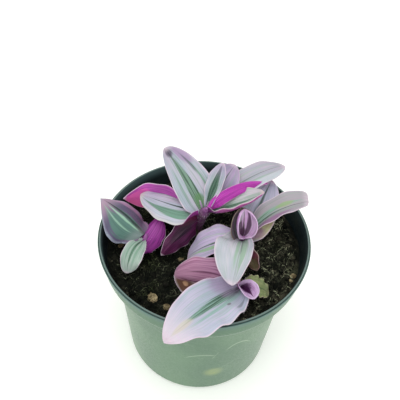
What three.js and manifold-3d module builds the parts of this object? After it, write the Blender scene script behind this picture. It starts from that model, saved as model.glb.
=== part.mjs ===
// A potted tradescantia: a thin plastic nursery pot, the soil that fills it, and four leafy shoots
// planted in it. Millimetres, +Z up. The origin is the centre of the pot's underside, and -Y is the
// side that it is seen from.

import * as THREE from "three";
import { mergeVertices } from "three/addons/utils/BufferGeometryUtils.js";
import Module from "manifold-3d";

// Pot: a 12 cm nursery pot
const POT_HEIGHT = 104;
const RIM_RADIUS = 60;
const COLLAR_HEIGHT = 15;
const COLLAR_FOOT_RADIUS = 57.5;
const WALL_TOP_RADIUS = 52;
const FOOT_RADIUS = 47;
const FOOT_CORNER = 4;
const WALL = 1.4;
const LIP = 0.8;
const LIP_HEIGHT = 2.5;
const LIP_SWELL = 0.5;
const FLOOR = 1.8;
const FLOOR_CORNER = 3;
const DRAIN_COUNT = 8;
const DRAIN_RADIUS = 4;
const DRAIN_CIRCLE = 30;
const DRAIN_SIDES = 16;
const POT_SIDES = 36;

// Soil
const SOIL_TOP = 92;
const SOIL_RINGS = 6;
// Each wave of the soil's top: its height, how many radians it turns for each mm along X and along Y,
// and its start.
const SOIL_WAVES = [
  [0.5, 0.13, -0.11, 1.5],
  [0.4, 0.02, 0.24, 0.6],
  [0.3, 0.41, -0.33, 0],
  [0.25, 0.12, 0.52, 0.8],
];
const FIT = 0.3;
const FOOT_ROOM = 1;

// Stems and blades
const STEM_RADIUS = 2.4;
const STEM_SIDES = 8;
const STEM_STEPS = 8;
const STEM_FOOT = 80;
const SHEATH_RADIUS = 3.1;
const SHEATH_LENGTH = 4;
const LOWEST_SHEATH = SOIL_TOP + 2.4;
const BLADE_THICKNESS = 0.7;
const BLADE_STEPS = 10;
const HALF_STEPS = 2;
const ROLLED_HALF_STEPS = 4;
const TIP_WIDTH = 1.4;
const BLADE_START = 1.6;
const BASE_OFFSET = 0.03;
const CLASP_LENGTH = 0.14;
const CLASP_ANGLE = 80;
const RIPPLE_LAG = 2;
const RIPPLE_FADE = 4;
const ARC_STEPS = 12;
const MIDRIB_SUBSTEPS = 16;
const HALVINGS = 40;
const SMALLEST_DETAIL = 0.04;
const SAME_POINT = 1e-4;

const wasm = await Module();
wasm.setup();

const radians = THREE.MathUtils.degToRad;

// How a blade lies where its shoot's list doesn't say otherwise. Angles are in degrees. The heading is
// the compass direction that the blade grows in, 0 along +X, and sway turns it by the tip. Rise is the
// blade's slope at the stem, which droop takes away by the tip. Left and right are seen along the blade.
// Fold and cup say how far its halves stand up, and left and right how far each curls at its edge.
// Grow and blunt shape the outline's base and tip, and skew makes the left half the wider one.
const PLAIN_LEAF = {
  sway: 0,
  late: 1,
  roll: 0,
  fold: 12,
  cup: 10,
  left: 0,
  right: 0,
  flatten: 0.5,
  wave: 0.6,
  waves: 3,
  skew: 0,
  grow: 0.5,
  blunt: 0.65,
};

// Each shoot is a stem, from its foot in the soil to its growing point, and the leaves on it from the
// top down, each at a height on the stem.
const SHOOTS = [
  {
    name: "shoot_centre",
    stem: [[-5, 10, STEM_FOOT], [-4, 8, 96], [-3, 6, 108], [-1, 3, 118], [0, 0, 124]],
    leaves: [
      {
        at: 122, heading: 28, rise: 43, droop: 72, length: 40, width: 6.5, roll: -140, fold: 5,
        wave: 0.2, skew: 0.1, grow: 0.3, blunt: 0.8,
      },
      { at: 118, heading: 61, rise: 58, droop: 5, length: 28, width: 10, fold: 20, grow: 1, blunt: 0.7 },
      {
        at: 118, heading: 2, rise: 14, droop: -32, length: 34, width: 20, roll: -4, fold: 18,
        right: 65,
      },
      {
        at: 117, heading: 129, rise: 38, droop: 24, length: 42, width: 22, roll: -30, fold: 5,
        cup: 8, skew: -0.2, grow: 0.2, blunt: 0.55,
      },
      {
        at: 116, heading: 54, rise: 45, droop: 22, length: 31, width: 19, roll: 10, fold: 10,
        grow: 0.7,
      },
      {
        at: 115, heading: 164, rise: -3, droop: -10, length: 36, width: 28, roll: 5, fold: 6,
        skew: 0.2, grow: 0.4,
      },
      {
        at: 114, heading: 34, rise: 44, droop: 64, length: 58, width: 16, roll: 5, fold: 10,
        skew: -0.1, grow: 1, blunt: 0.7,
      },
      {
        at: 109, heading: 133, rise: -1, droop: -6, sway: 72, length: 48, width: 30, roll: 78,
        fold: 0, cup: -5, skew: 0.1, grow: 1.2, blunt: 0.9,
      },
      {
        at: 110, heading: 226, rise: 0, droop: 36, length: 30, width: 16, roll: 115, skew: -0.3,
        grow: 0.4,
      },
      { at: 106, heading: 96, rise: 14, droop: 40, length: 34, width: 20 },
    ],
  },
  {
    name: "shoot_right",
    stem: [[22, -5, STEM_FOOT], [22, -6, 92], [21, -8, 104], [21, -9, 113]],
    leaves: [
      {
        at: 112, heading: 100, rise: 72, droop: 0, length: 16.5, width: 24, fold: 25, cup: 75,
        flatten: 0, wave: 0, blunt: 0.25,
      },
      {
        at: 110.5, heading: 259, rise: 44, droop: 72, length: 35, width: 20.5, roll: 5, skew: -0.32,
        grow: 0.45,
      },
      {
        at: 109, heading: 104, rise: 66, droop: 0, length: 18.5, width: 21.5, fold: 20, cup: 50,
        flatten: 0, wave: 0, skew: 0.15, blunt: 0.35,
      },
      {
        at: 109, heading: 187, rise: 9, droop: 72, length: 34, width: 21, roll: 5, skew: -0.05,
        grow: 0.6, blunt: 0.75,
      },
      {
        at: 108, heading: 43, rise: 48, droop: 28, sway: -48, length: 41.5, width: 16, roll: -8,
        skew: 0.29, grow: 0.8, blunt: 0.25,
      },
      { at: 106, heading: 66, rise: 38, droop: 32, length: 41, width: 21, roll: 15, skew: -0.1 },
      { at: 106, heading: 300, rise: 7, droop: 50, length: 16, width: 11, roll: 60 },
    ],
  },
  {
    name: "shoot_front",
    stem: [[24, -29, STEM_FOOT], [24, -31, 90], [22, -33, 98], [19, -36, 106]],
    leaves: [
      {
        at: 106, heading: 306, rise: 44, droop: 40, length: 12, width: 12.5, fold: 40, cup: 60,
        flatten: 0.6, wave: 0.2, blunt: 0.4,
      },
      {
        at: 103, heading: 229, rise: 24, droop: 28, late: 2.4, length: 56, width: 28, roll: 8,
        left: -50, wave: 1.2, waves: 4, skew: -0.04, blunt: 0.7,
      },
      {
        at: 102, heading: 16, rise: 2, droop: 56, sway: -25, length: 16, width: 13, wave: 0.7,
        waves: 5,
      },
      {
        at: 101.5, heading: 176, rise: 16, droop: 18, length: 34.5, width: 30, roll: 95, right: -120,
        grow: 0.6, blunt: 0.55,
      },
    ],
  },
  {
    name: "shoot_left",
    stem: [[-41, -18, STEM_FOOT], [-39, -15.5, 90], [-33.5, -9, 101], [-32, -7, 108]],
    leaves: [
      {
        at: 107, heading: 150, rise: 38, droop: 38, length: 32, width: 27, roll: -10, fold: -40,
        cup: -5, skew: 0.2, grow: 0.6, blunt: 1,
      },
      {
        at: 104, heading: 228, rise: 20, droop: 76, sway: 45, length: 22, width: 12, roll: -5,
        skew: 0.2, grow: 0.6, blunt: 0.55,
      },
      {
        at: 96.2, heading: 234, rise: 112, droop: -55, length: 25.5, width: 20, roll: -10, fold: 25,
        cup: 50, flatten: 0.1, blunt: 0.4,
      },
    ],
  },
];

const FINISHES = {
  pot: { color: 0x7fa58f, roughness: 0.55, metalness: 0 },
  soil: { color: 0x2c241d, roughness: 0.95, metalness: 0 },
  shoot: { color: 0xc9c4d4, roughness: 0.5, metalness: 0 },
};

// A closed solid made of a geometry whose equal points are one point.
function solidOf(geometry) {
  const bare = geometry.clone();
  bare.deleteAttribute("normal");
  bare.deleteAttribute("uv");
  const merged = mergeVertices(bare, SAME_POINT);
  const mesh = new wasm.Mesh({
    numProp: 3,
    vertProperties: new Float32Array(merged.attributes.position.array),
    triVerts: new Uint32Array(merged.index.array),
  });
  return new wasm.Manifold(mesh);
}

// The one body that is left when scraps are dropped and sealed hollows are filled.
function mainBody(solid) {
  const pieces = solid.simplify(SMALLEST_DETAIL).decompose();
  return pieces.reduce((best, piece) => (piece.volume() > best.volume() ? piece : best));
}

function meshOf(name, solid, finish) {
  const result = solid.getMesh();
  const geometry = new THREE.BufferGeometry();
  geometry.setAttribute("position", new THREE.BufferAttribute(new Float32Array(result.vertProperties), 3));
  geometry.setIndex(new THREE.BufferAttribute(new Uint32Array(result.triVerts), 1));
  geometry.computeVertexNormals();
  const mesh = new THREE.Mesh(geometry, new THREE.MeshStandardMaterial(finish));
  mesh.name = name;
  return mesh;
}

// A profile of [radius, height] points turned about the pot's axis.
function turned(profile, sides) {
  const points = profile.map(([radius, height]) => new THREE.Vector2(radius, height));
  const geometry = new THREE.LatheGeometry(points, sides);
  geometry.rotateX(Math.PI / 2);
  return geometry;
}

function uprightCylinder(radius, height, sides, x, y, bottom) {
  const geometry = new THREE.CylinderGeometry(radius, radius, height, sides);
  geometry.rotateX(Math.PI / 2);
  geometry.translate(x, y, bottom + height / 2);
  return geometry;
}

const collarFoot = POT_HEIGHT - COLLAR_HEIGHT;

// Radius of the pot's outer wall, under the collar.
function wallRadius(height) {
  return FOOT_RADIUS + (WALL_TOP_RADIUS - FOOT_RADIUS) * (height / collarFoot);
}

// The inner wall's profile from the collar's step down to the middle of the floor, a gap clear of the
// plastic.
function innerProfile(gap) {
  const corner = wallRadius(FLOOR) - WALL - gap;
  return [
    [COLLAR_FOOT_RADIUS - WALL - gap, collarFoot + WALL + gap],
    [wallRadius(collarFoot) - WALL - gap, collarFoot + WALL + gap],
    [corner - FLOOR_CORNER / 3, FLOOR + FLOOR_CORNER / 3 + gap],
    [corner - FLOOR_CORNER, FLOOR + gap],
    [0, FLOOR + gap],
  ];
}

function potProfile() {
  const outside = [[0, 0], [FOOT_RADIUS - FOOT_CORNER, 0]];
  for (const turn of [30, 60, 90]) {
    const angle = radians(turn);
    const radius = wallRadius(FOOT_CORNER) - FOOT_CORNER * (1 - Math.sin(angle));
    outside.push([radius, FOOT_CORNER * (1 - Math.cos(angle))]);
  }
  outside.push([wallRadius(collarFoot), collarFoot]);
  outside.push([COLLAR_FOOT_RADIUS, collarFoot]);
  outside.push([RIM_RADIUS - LIP_SWELL, POT_HEIGHT - LIP_HEIGHT]);
  outside.push([RIM_RADIUS, POT_HEIGHT - LIP_HEIGHT / 2]);
  outside.push([RIM_RADIUS - LIP_SWELL, POT_HEIGHT]);
  const lip = [
    [RIM_RADIUS - WALL - LIP, POT_HEIGHT],
    [RIM_RADIUS - WALL - LIP, POT_HEIGHT - LIP_HEIGHT],
  ];
  return outside.concat(lip, innerProfile(0));
}

function potSolid() {
  let pot = solidOf(turned(potProfile(), POT_SIDES));
  for (let k = 0; k < DRAIN_COUNT; k += 1) {
    const angle = (2 * Math.PI * (k + 0.5)) / DRAIN_COUNT;
    const x = DRAIN_CIRCLE * Math.cos(angle);
    const y = DRAIN_CIRCLE * Math.sin(angle);
    pot = pot.subtract(solidOf(uprightCylinder(DRAIN_RADIUS, 4 * FLOOR, DRAIN_SIDES, x, y, -FLOOR)));
  }
  return pot;
}

function soilHeight(x, y) {
  return SOIL_WAVES.reduce((sum, [rise, alongX, alongY, start]) => {
    return sum + rise * Math.sin(alongX * x + alongY * y + start);
  }, SOIL_TOP);
}

// The soil's sides follow the pot's inner wall, FIT clear of it.
function soilSolid() {
  const profile = innerProfile(FIT).reverse();
  const edge = profile.at(-1)[0];
  profile.push([edge, SOIL_TOP]);
  for (let ring = SOIL_RINGS - 1; ring >= 0; ring -= 1) {
    profile.push([(edge * ring) / SOIL_RINGS, SOIL_TOP]);
  }
  const geometry = turned(profile, POT_SIDES);
  const position = geometry.attributes.position;
  for (let k = 0; k < position.count; k += 1) {
    if (position.getZ(k) > SOIL_TOP - SAME_POINT) {
      position.setZ(k, soilHeight(position.getX(k), position.getY(k)));
    }
  }
  return solidOf(geometry);
}

function stemCurve(points) {
  const places = points.map(([x, y, z]) => new THREE.Vector3(x, y, z));
  return new THREE.CatmullRomCurve3(places, false, "centripetal");
}

// The curve's point at a height, for a curve that only rises.
function pointAtHeight(curve, height) {
  let low = 0;
  let high = 1;
  for (let k = 0; k < HALVINGS; k += 1) {
    const middle = (low + high) / 2;
    if (curve.getPoint(middle).z < height) {
      low = middle;
    } else {
      high = middle;
    }
  }
  return curve.getPoint(low);
}

function ringShape(radius) {
  const shape = new THREE.Shape();
  for (let k = 0; k < STEM_SIDES; k += 1) {
    const angle = (2 * Math.PI * k) / STEM_SIDES;
    const x = radius * Math.cos(angle);
    const y = radius * Math.sin(angle);
    if (k === 0) {
      shape.moveTo(x, y);
    } else {
      shape.lineTo(x, y);
    }
  }
  shape.closePath();
  return shape;
}

function tubeAlong(curve, radius, steps) {
  const settings = { steps, bevelEnabled: false, extrudePath: curve };
  return solidOf(new THREE.ExtrudeGeometry(ringShape(radius), settings));
}

// Where a blade springs from its stem: inside the stem's skin, on the side that the blade grows towards.
function bladeFoot(leaf, curve) {
  const foot = pointAtHeight(curve, leaf.at);
  foot.x += BLADE_START * Math.cos(radians(leaf.heading));
  foot.y += BLADE_START * Math.sin(radians(leaf.heading));
  return foot;
}

// The closed sheath of a leaf, which wraps the stem under the blade.
function sheathSolid(curve, height) {
  const bottom = pointAtHeight(curve, Math.max(height - SHEATH_LENGTH, LOWEST_SHEATH));
  const top = pointAtHeight(curve, height);
  return tubeAlong(new THREE.LineCurve3(bottom, top), SHEATH_RADIUS, 1);
}

// Share of the blade's half-width at a place along it, from 0 at the stem to 1 at the tip.
function outlineShare(along, leaf) {
  const peak = (leaf.grow - leaf.blunt * BASE_OFFSET) / (leaf.grow + leaf.blunt);
  const shape = (t) => (t + BASE_OFFSET) ** leaf.grow * (1 - t) ** leaf.blunt;
  return shape(along) / shape(peak);
}

// The direction of growth, the blade's left and its upper side, at a place along it.
function bladeAxes(leaf, along) {
  const slope = radians(leaf.rise - leaf.droop * along ** leaf.late);
  const heading = radians(leaf.heading + leaf.sway * along);
  const roll = radians(leaf.roll);
  const growth = new THREE.Vector3(
    Math.cos(slope) * Math.cos(heading),
    Math.cos(slope) * Math.sin(heading),
    Math.sin(slope),
  );
  const level = new THREE.Vector3(-Math.sin(heading), Math.cos(heading), 0);
  const up = new THREE.Vector3().crossVectors(growth, level);
  const left = level.clone().multiplyScalar(Math.cos(roll)).addScaledVector(up, Math.sin(roll));
  const top = up.clone().multiplyScalar(Math.cos(roll)).addScaledVector(level, -Math.sin(roll));
  return { growth, left, top };
}

// Midrib points, one for each step along the blade.
function midrib(leaf, base) {
  const count = BLADE_STEPS * MIDRIB_SUBSTEPS;
  const points = [base.clone()];
  const here = base.clone();
  for (let k = 0; k < count; k += 1) {
    here.addScaledVector(bladeAxes(leaf, (k + 0.5) / count).growth, leaf.length / count);
    if ((k + 1) % MIDRIB_SUBSTEPS === 0) {
      points.push(here.clone());
    }
  }
  return points;
}

// How far a half of the blade reaches sideways and upwards, as shares of its width, at a share of the
// way out.
function crossSection(leaf, along, share, side) {
  const keep = 1 - leaf.flatten * along;
  const extra = side > 0 ? leaf.left : leaf.right;
  const clasp = CLASP_ANGLE * Math.max(0, 1 - along / CLASP_LENGTH);
  let across = 0;
  let lift = 0;
  for (let k = 0; k < ARC_STEPS; k += 1) {
    const s = (share * (k + 0.5)) / ARC_STEPS;
    const angle = radians((leaf.fold + leaf.cup * s) * keep + extra * s * s + clasp * s);
    across += (Math.cos(angle) * share) / ARC_STEPS;
    lift += (Math.sin(angle) * share) / ARC_STEPS;
  }
  return { across, lift };
}

// The waved edge's rise, strongest at the margin and dying out at the tip.
function ripple(leaf, along, share, side) {
  const phase = 2 * Math.PI * leaf.waves * along + (side > 0 ? 0 : RIPPLE_LAG);
  return leaf.wave * share ** 3 * Math.sin(phase) * Math.min(1, RIPPLE_FADE * (1 - along));
}

// Rows of points along the blade, each from its right edge to its left.
function bladeGrid(leaf, base) {
  const centre = midrib(leaf, base);
  const curl = Math.max(leaf.cup, Math.abs(leaf.left), Math.abs(leaf.right));
  const halfSteps = curl > 40 ? ROLLED_HALF_STEPS : HALF_STEPS;
  return centre.map((middle, row) => {
    const along = row / BLADE_STEPS;
    const { left, top } = bladeAxes(leaf, along);
    const widest = Math.max((leaf.width / 2) * outlineShare(along, leaf), TIP_WIDTH / 2);
    const points = [];
    for (let column = -halfSteps; column <= halfSteps; column += 1) {
      const side = Math.sign(column);
      const share = Math.abs(column) / halfSteps;
      const half = widest * (1 + side * leaf.skew);
      const { across, lift } = crossSection(leaf, along, share, side);
      const rise = half * lift + ripple(leaf, along, share, side);
      points.push(middle.clone().addScaledVector(left, side * half * across).addScaledVector(top, rise));
    }
    return points;
  });
}

// Averaged normals of a grid of points, on its upper side.
function gridNormals(grid) {
  const last = grid[0].length - 1;
  return grid.map((row, r) =>
    row.map((point, c) => {
      const ahead = grid[Math.min(r + 1, grid.length - 1)][c];
      const behind = grid[Math.max(r - 1, 0)][c];
      const leftward = row[Math.min(c + 1, last)];
      const rightward = row[Math.max(c - 1, 0)];
      const along = ahead.clone().sub(behind);
      const across = leftward.clone().sub(rightward);
      return along.cross(across).normalize();
    }),
  );
}

// A blade of even thickness. Its two faces share one pattern of triangles, so they never cross.
function bladeSolid(leaf, base) {
  const grid = bladeGrid(leaf, base);
  const normals = gridNormals(grid);
  const rows = grid.length;
  const columns = grid[0].length;
  const faces = [BLADE_THICKNESS / 2, -BLADE_THICKNESS / 2];
  const position = [];
  for (const offset of faces) {
    grid.forEach((row, r) =>
      row.forEach((point, c) => {
        const moved = point.clone().addScaledVector(normals[r][c], offset);
        position.push(moved.x, moved.y, moved.z);
      }),
    );
  }
  const under = rows * columns;
  const index = [];
  const at = (r, c) => r * columns + c;
  for (let r = 0; r < rows - 1; r += 1) {
    for (let c = 0; c < columns - 1; c += 1) {
      const [a, b, d, e] = [at(r, c), at(r + 1, c), at(r + 1, c + 1), at(r, c + 1)];
      index.push(a, b, d, a, d, e);
      index.push(under + a, under + d, under + b, under + a, under + e, under + d);
    }
  }
  const border = [];
  for (let c = 0; c < columns - 1; c += 1) {
    border.push(at(0, c));
  }
  for (let r = 0; r < rows - 1; r += 1) {
    border.push(at(r, columns - 1));
  }
  for (let c = columns - 1; c > 0; c -= 1) {
    border.push(at(rows - 1, c));
  }
  for (let r = rows - 1; r > 0; r -= 1) {
    border.push(at(r, 0));
  }
  border.forEach((a, k) => {
    const b = border[(k + 1) % border.length];
    index.push(a, b, under + b, a, under + b, under + a);
  });
  const geometry = new THREE.BufferGeometry();
  geometry.setAttribute("position", new THREE.BufferAttribute(new Float32Array(position), 3));
  geometry.setIndex(index);
  return solidOf(geometry);
}

function shootSolid(shoot) {
  const curve = stemCurve(shoot.stem);
  let solid = tubeAlong(curve, STEM_RADIUS, STEM_STEPS);
  for (const given of shoot.leaves) {
    const leaf = { ...PLAIN_LEAF, ...given };
    solid = solid.add(sheathSolid(curve, leaf.at));
    solid = solid.add(bladeSolid(leaf, bladeFoot(leaf, curve)));
  }
  return mainBody(solid);
}

// The plain hole in the soil that a stem stands in, FIT clear of it all round, with room under its
// slanted foot.
function stemHole(shoot) {
  const curve = stemCurve(shoot.stem);
  const [x, y] = shoot.stem[0];
  const start = new THREE.Vector3(x, y, STEM_FOOT - FOOT_ROOM);
  const foot = tubeAlong(new THREE.LineCurve3(start, curve.getPoint(0)), STEM_RADIUS + FIT, 1);
  return tubeAlong(curve, STEM_RADIUS + FIT, STEM_STEPS).add(foot);
}

function buildPlant() {
  const plant = new THREE.Group();
  plant.name = "potted_tradescantia";
  let soil = soilSolid();
  for (const shoot of SHOOTS) {
    soil = soil.subtract(stemHole(shoot));
    plant.add(meshOf(shoot.name, shootSolid(shoot), FINISHES.shoot));
  }
  plant.add(meshOf("soil", soil, FINISHES.soil));
  plant.add(meshOf("pot", potSolid(), FINISHES.pot));
  return plant;
}

export default buildPlant();
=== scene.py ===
"""Looks of a potted tradescantia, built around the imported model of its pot, soil and leafy shoots.

A thin green nursery pot holds dark peat, and four leafy shoots grow in it. Sizes inside the classes are
millimetres and degrees, and become metres and radians where a mesh is made.
"""

import logging
import math
from dataclasses import dataclass, field
from enum import Enum

import bmesh
import bpy
import numpy as np
from mathutils import Matrix, Vector, noise


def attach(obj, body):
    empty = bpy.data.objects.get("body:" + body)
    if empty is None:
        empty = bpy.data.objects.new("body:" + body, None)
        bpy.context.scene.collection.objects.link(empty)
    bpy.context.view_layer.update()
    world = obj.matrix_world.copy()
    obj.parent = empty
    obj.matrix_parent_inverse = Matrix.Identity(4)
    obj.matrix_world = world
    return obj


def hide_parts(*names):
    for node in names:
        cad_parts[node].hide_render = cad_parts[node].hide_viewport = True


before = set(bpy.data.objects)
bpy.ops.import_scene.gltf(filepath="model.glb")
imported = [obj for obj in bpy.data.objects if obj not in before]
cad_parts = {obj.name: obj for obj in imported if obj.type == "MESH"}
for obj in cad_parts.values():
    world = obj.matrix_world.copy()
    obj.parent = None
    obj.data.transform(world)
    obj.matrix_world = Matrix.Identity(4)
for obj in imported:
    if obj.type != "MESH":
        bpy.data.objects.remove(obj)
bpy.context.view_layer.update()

log = logging.getLogger("tradescantia")

MM = 0.001
BODY = "root"

Array = np.ndarray
Node = bpy.types.Node
Colour = tuple[float, float, float, float]
Value = bpy.types.NodeSocket | float | Colour
Faces = list[list[int]]
Patch = tuple[Array, Faces]
Pair = tuple[float, float]
Triple = tuple[float, float, float]
Profile = list[Pair]


def tint(red: int, green: int, blue: int) -> Colour:
    """Turn an sRGB colour, 0 to 255 a channel, into the linear colour that a shader works with.

    Args:
        red: The red channel.
        green: The green channel.
        blue: The blue channel.

    Returns:
        The linear colour with full alpha.
    """
    shares = (channel / 255 for channel in (red, green, blue))
    linear = [s / 12.92 if s <= 0.04045 else ((s + 0.055) / 1.055) ** 2.4 for s in shares]
    return (linear[0], linear[1], linear[2], 1.0)


def metres(place: Triple) -> Vector:
    """Turn a place in millimetres into one in metres."""
    return Vector([value * MM for value in place])


class Socket(Enum):
    """Kinds of socket that a shared effect has."""

    NUMBER = "NodeSocketFloat"
    PLACE = "NodeSocketVector"


class Slot(Enum):
    """The record's material slots."""

    POT = "pot_plastic"
    SOIL = "soil"
    LEAF = "leaf"


class Graph:
    """A node tree that is being wired, with short ways to add its nodes."""

    def __init__(self, tree: bpy.types.NodeTree) -> None:
        """Start on an empty tree."""
        self.tree = tree
        self.tree.nodes.clear()

    def node(self, kind: str, **settings: object) -> Node:
        """Add a node.

        Args:
            kind: Blender's name for the node's type.
            settings: The node's own properties.

        Returns:
            The new node.
        """
        made = self.tree.nodes.new(kind)
        for name, value in settings.items():
            setattr(made, name, value)
        return made

    def feed(self, socket: bpy.types.NodeSocket, value: Value) -> None:
        """Link a socket to another one, or set it to a constant.

        Args:
            socket: The socket that takes the value.
            value: Another node's socket, or the constant.
        """
        if isinstance(value, bpy.types.NodeSocket):
            self.tree.links.new(value, socket)
        else:
            socket.default_value = value

    def math(self, operation: str, first: Value, second: Value = 0.0, clamp: bool = False) -> Value:
        """Add a Math node.

        Args:
            operation: The node's operation.
            first: Its first number.
            second: Its second number.
            clamp: Whether the result stays from 0 to 1.

        Returns:
            The result's socket.
        """
        made = self.node("ShaderNodeMath", operation=operation, use_clamp=clamp)
        self.feed(made.inputs[0], first)
        self.feed(made.inputs[1], second)
        return made.outputs[0]

    def times(self, first: Value, second: Value) -> Value:
        """Multiply two numbers."""
        return self.math("MULTIPLY", first, second)

    def ease(self, value: Value, low: Value, high: Value, start: float = 0.0, end: float = 1.0) -> Value:
        """Turn a number smoothly from start to end as it goes from low to high.

        Args:
            value: The number.
            low: Where the change starts.
            high: Where it ends.
            start: The result up to low.
            end: The result from high on.

        Returns:
            The result's socket.
        """
        made = self.node("ShaderNodeMapRange", interpolation_type="SMOOTHSTEP")
        given = {"Value": value, "From Min": low, "From Max": high, "To Min": start, "To Max": end}
        for name, number in given.items():
            self.feed(made.inputs[name], number)
        return made.outputs["Result"]

    def mix(self, share: Value, first: Value, second: Value) -> Value:
        """Mix two colours.

        Args:
            share: How much of the second colour shows.
            first: The first colour.
            second: The second colour.

        Returns:
            The mixed colour's socket.
        """
        made = self.node("ShaderNodeMix", data_type="RGBA")
        # The node has sockets for each kind of data: 6, 7 and 2 are those for colours.
        self.feed(made.inputs[0], share)
        self.feed(made.inputs[6], first)
        self.feed(made.inputs[7], second)
        return made.outputs[2]

    def place(self, across: Value, along: Value, third: Value) -> Value:
        """Join three numbers into a place.

        Args:
            across: Its first number.
            along: Its second number.
            third: Its third number.

        Returns:
            The place's socket.
        """
        made = self.node("ShaderNodeCombineXYZ")
        for socket, value in zip(made.inputs, (across, along, third)):
            self.feed(socket, value)
        return made.outputs[0]

    def split(self, place: Value) -> tuple[Value, ...]:
        """Part a place into its three numbers.

        Args:
            place: The place.

        Returns:
            The three numbers' sockets.
        """
        made = self.node("ShaderNodeSeparateXYZ")
        self.feed(made.inputs[0], place)
        return tuple(made.outputs)

    def spread(self, across: Value, along: Value, seed: Value, counts: Pair) -> Value:
        """Scale a place on a blade, so that noise read there is drawn out along it.

        Args:
            across: Place across the blade.
            along: Place along it.
            seed: What sets this blade's noise apart.
            counts: How many bumps there are across and along.

        Returns:
            The scaled place's socket.
        """
        wide, long = counts
        return self.place(self.times(across, wide), self.times(along, long), seed)

    def noise(self, where: Value, scale: Value, detail: float = 2.0, roughness: float = 0.5) -> Value:
        """Add soft noise from 0 to 1.

        Args:
            where: The place that it is read at.
            scale: How many bumps there are in one unit.
            detail: How many finer layers it has.
            roughness: How strong the finer layers are.

        Returns:
            The noise's socket.
        """
        made = self.node("ShaderNodeTexNoise")
        given = {"Vector": where, "Scale": scale, "Detail": detail, "Roughness": roughness}
        for name, value in given.items():
            self.feed(made.inputs[name], value)
        return made.outputs[0]

    def mark(self, name: str) -> Node:
        """Read an attribute that the mesh carries."""
        return self.node("ShaderNodeAttribute", attribute_name=name)

    def own_place(self) -> Value:
        """Read the place on the piece itself, in metres."""
        return self.node("ShaderNodeTexCoord").outputs["Object"]


# Shader groups that finishes share


@dataclass(frozen=True)
class Port:
    """A named input of a shared effect."""

    name: str
    kind: Socket
    value: float | None = None


def numbers(**values: float) -> tuple[Port, ...]:
    """Name a shared effect's number inputs, with underscores for spaces.

    Args:
        values: What each input is where a finish doesn't say.

    Returns:
        The inputs.
    """
    return tuple(Port(name.replace("_", " "), Socket.NUMBER, value) for name, value in values.items())


class Effect:
    """A shader node group that several finishes share."""

    name: str
    takes: tuple[Port, ...]
    gives: tuple[str, ...]

    def wire(self, graph: Graph, given: dict[str, Value]) -> dict[str, Value]:
        """Wire the group's inside.

        Args:
            graph: The group's tree.
            given: The group's inputs by name.

        Returns:
            What goes to each output, by name.
        """
        raise NotImplementedError

    def tree(self) -> bpy.types.NodeTree:
        """Build the group once, and give the same one after that.

        Returns:
            The group's tree.
        """
        known = bpy.data.node_groups.get(self.name)
        if known:
            return known
        tree = bpy.data.node_groups.new(self.name, "ShaderNodeTree")
        for port in self.takes:
            socket = tree.interface.new_socket(port.name, in_out="INPUT", socket_type=port.kind.value)
            if port.value is not None:
                socket.default_value = port.value
        for name in self.gives:
            tree.interface.new_socket(name, in_out="OUTPUT", socket_type=Socket.NUMBER.value)
        graph = Graph(tree)
        start = graph.node("NodeGroupInput")
        end = graph.node("NodeGroupOutput")
        result = self.wire(graph, {port.name: start.outputs[port.name] for port in self.takes})
        for name in self.gives:
            graph.feed(end.inputs[name], result[name])
        return tree

    def add(self, graph: Graph, **values: Value) -> Node:
        """Place the group in a material.

        Args:
            graph: The material's tree.
            values: The group's inputs, with underscores for spaces.

        Returns:
            The group's node.
        """
        made = graph.node("ShaderNodeGroup", node_tree=self.tree())
        for name, value in values.items():
            graph.feed(made.inputs[name.replace("_", " ")], value)
        return made


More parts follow.
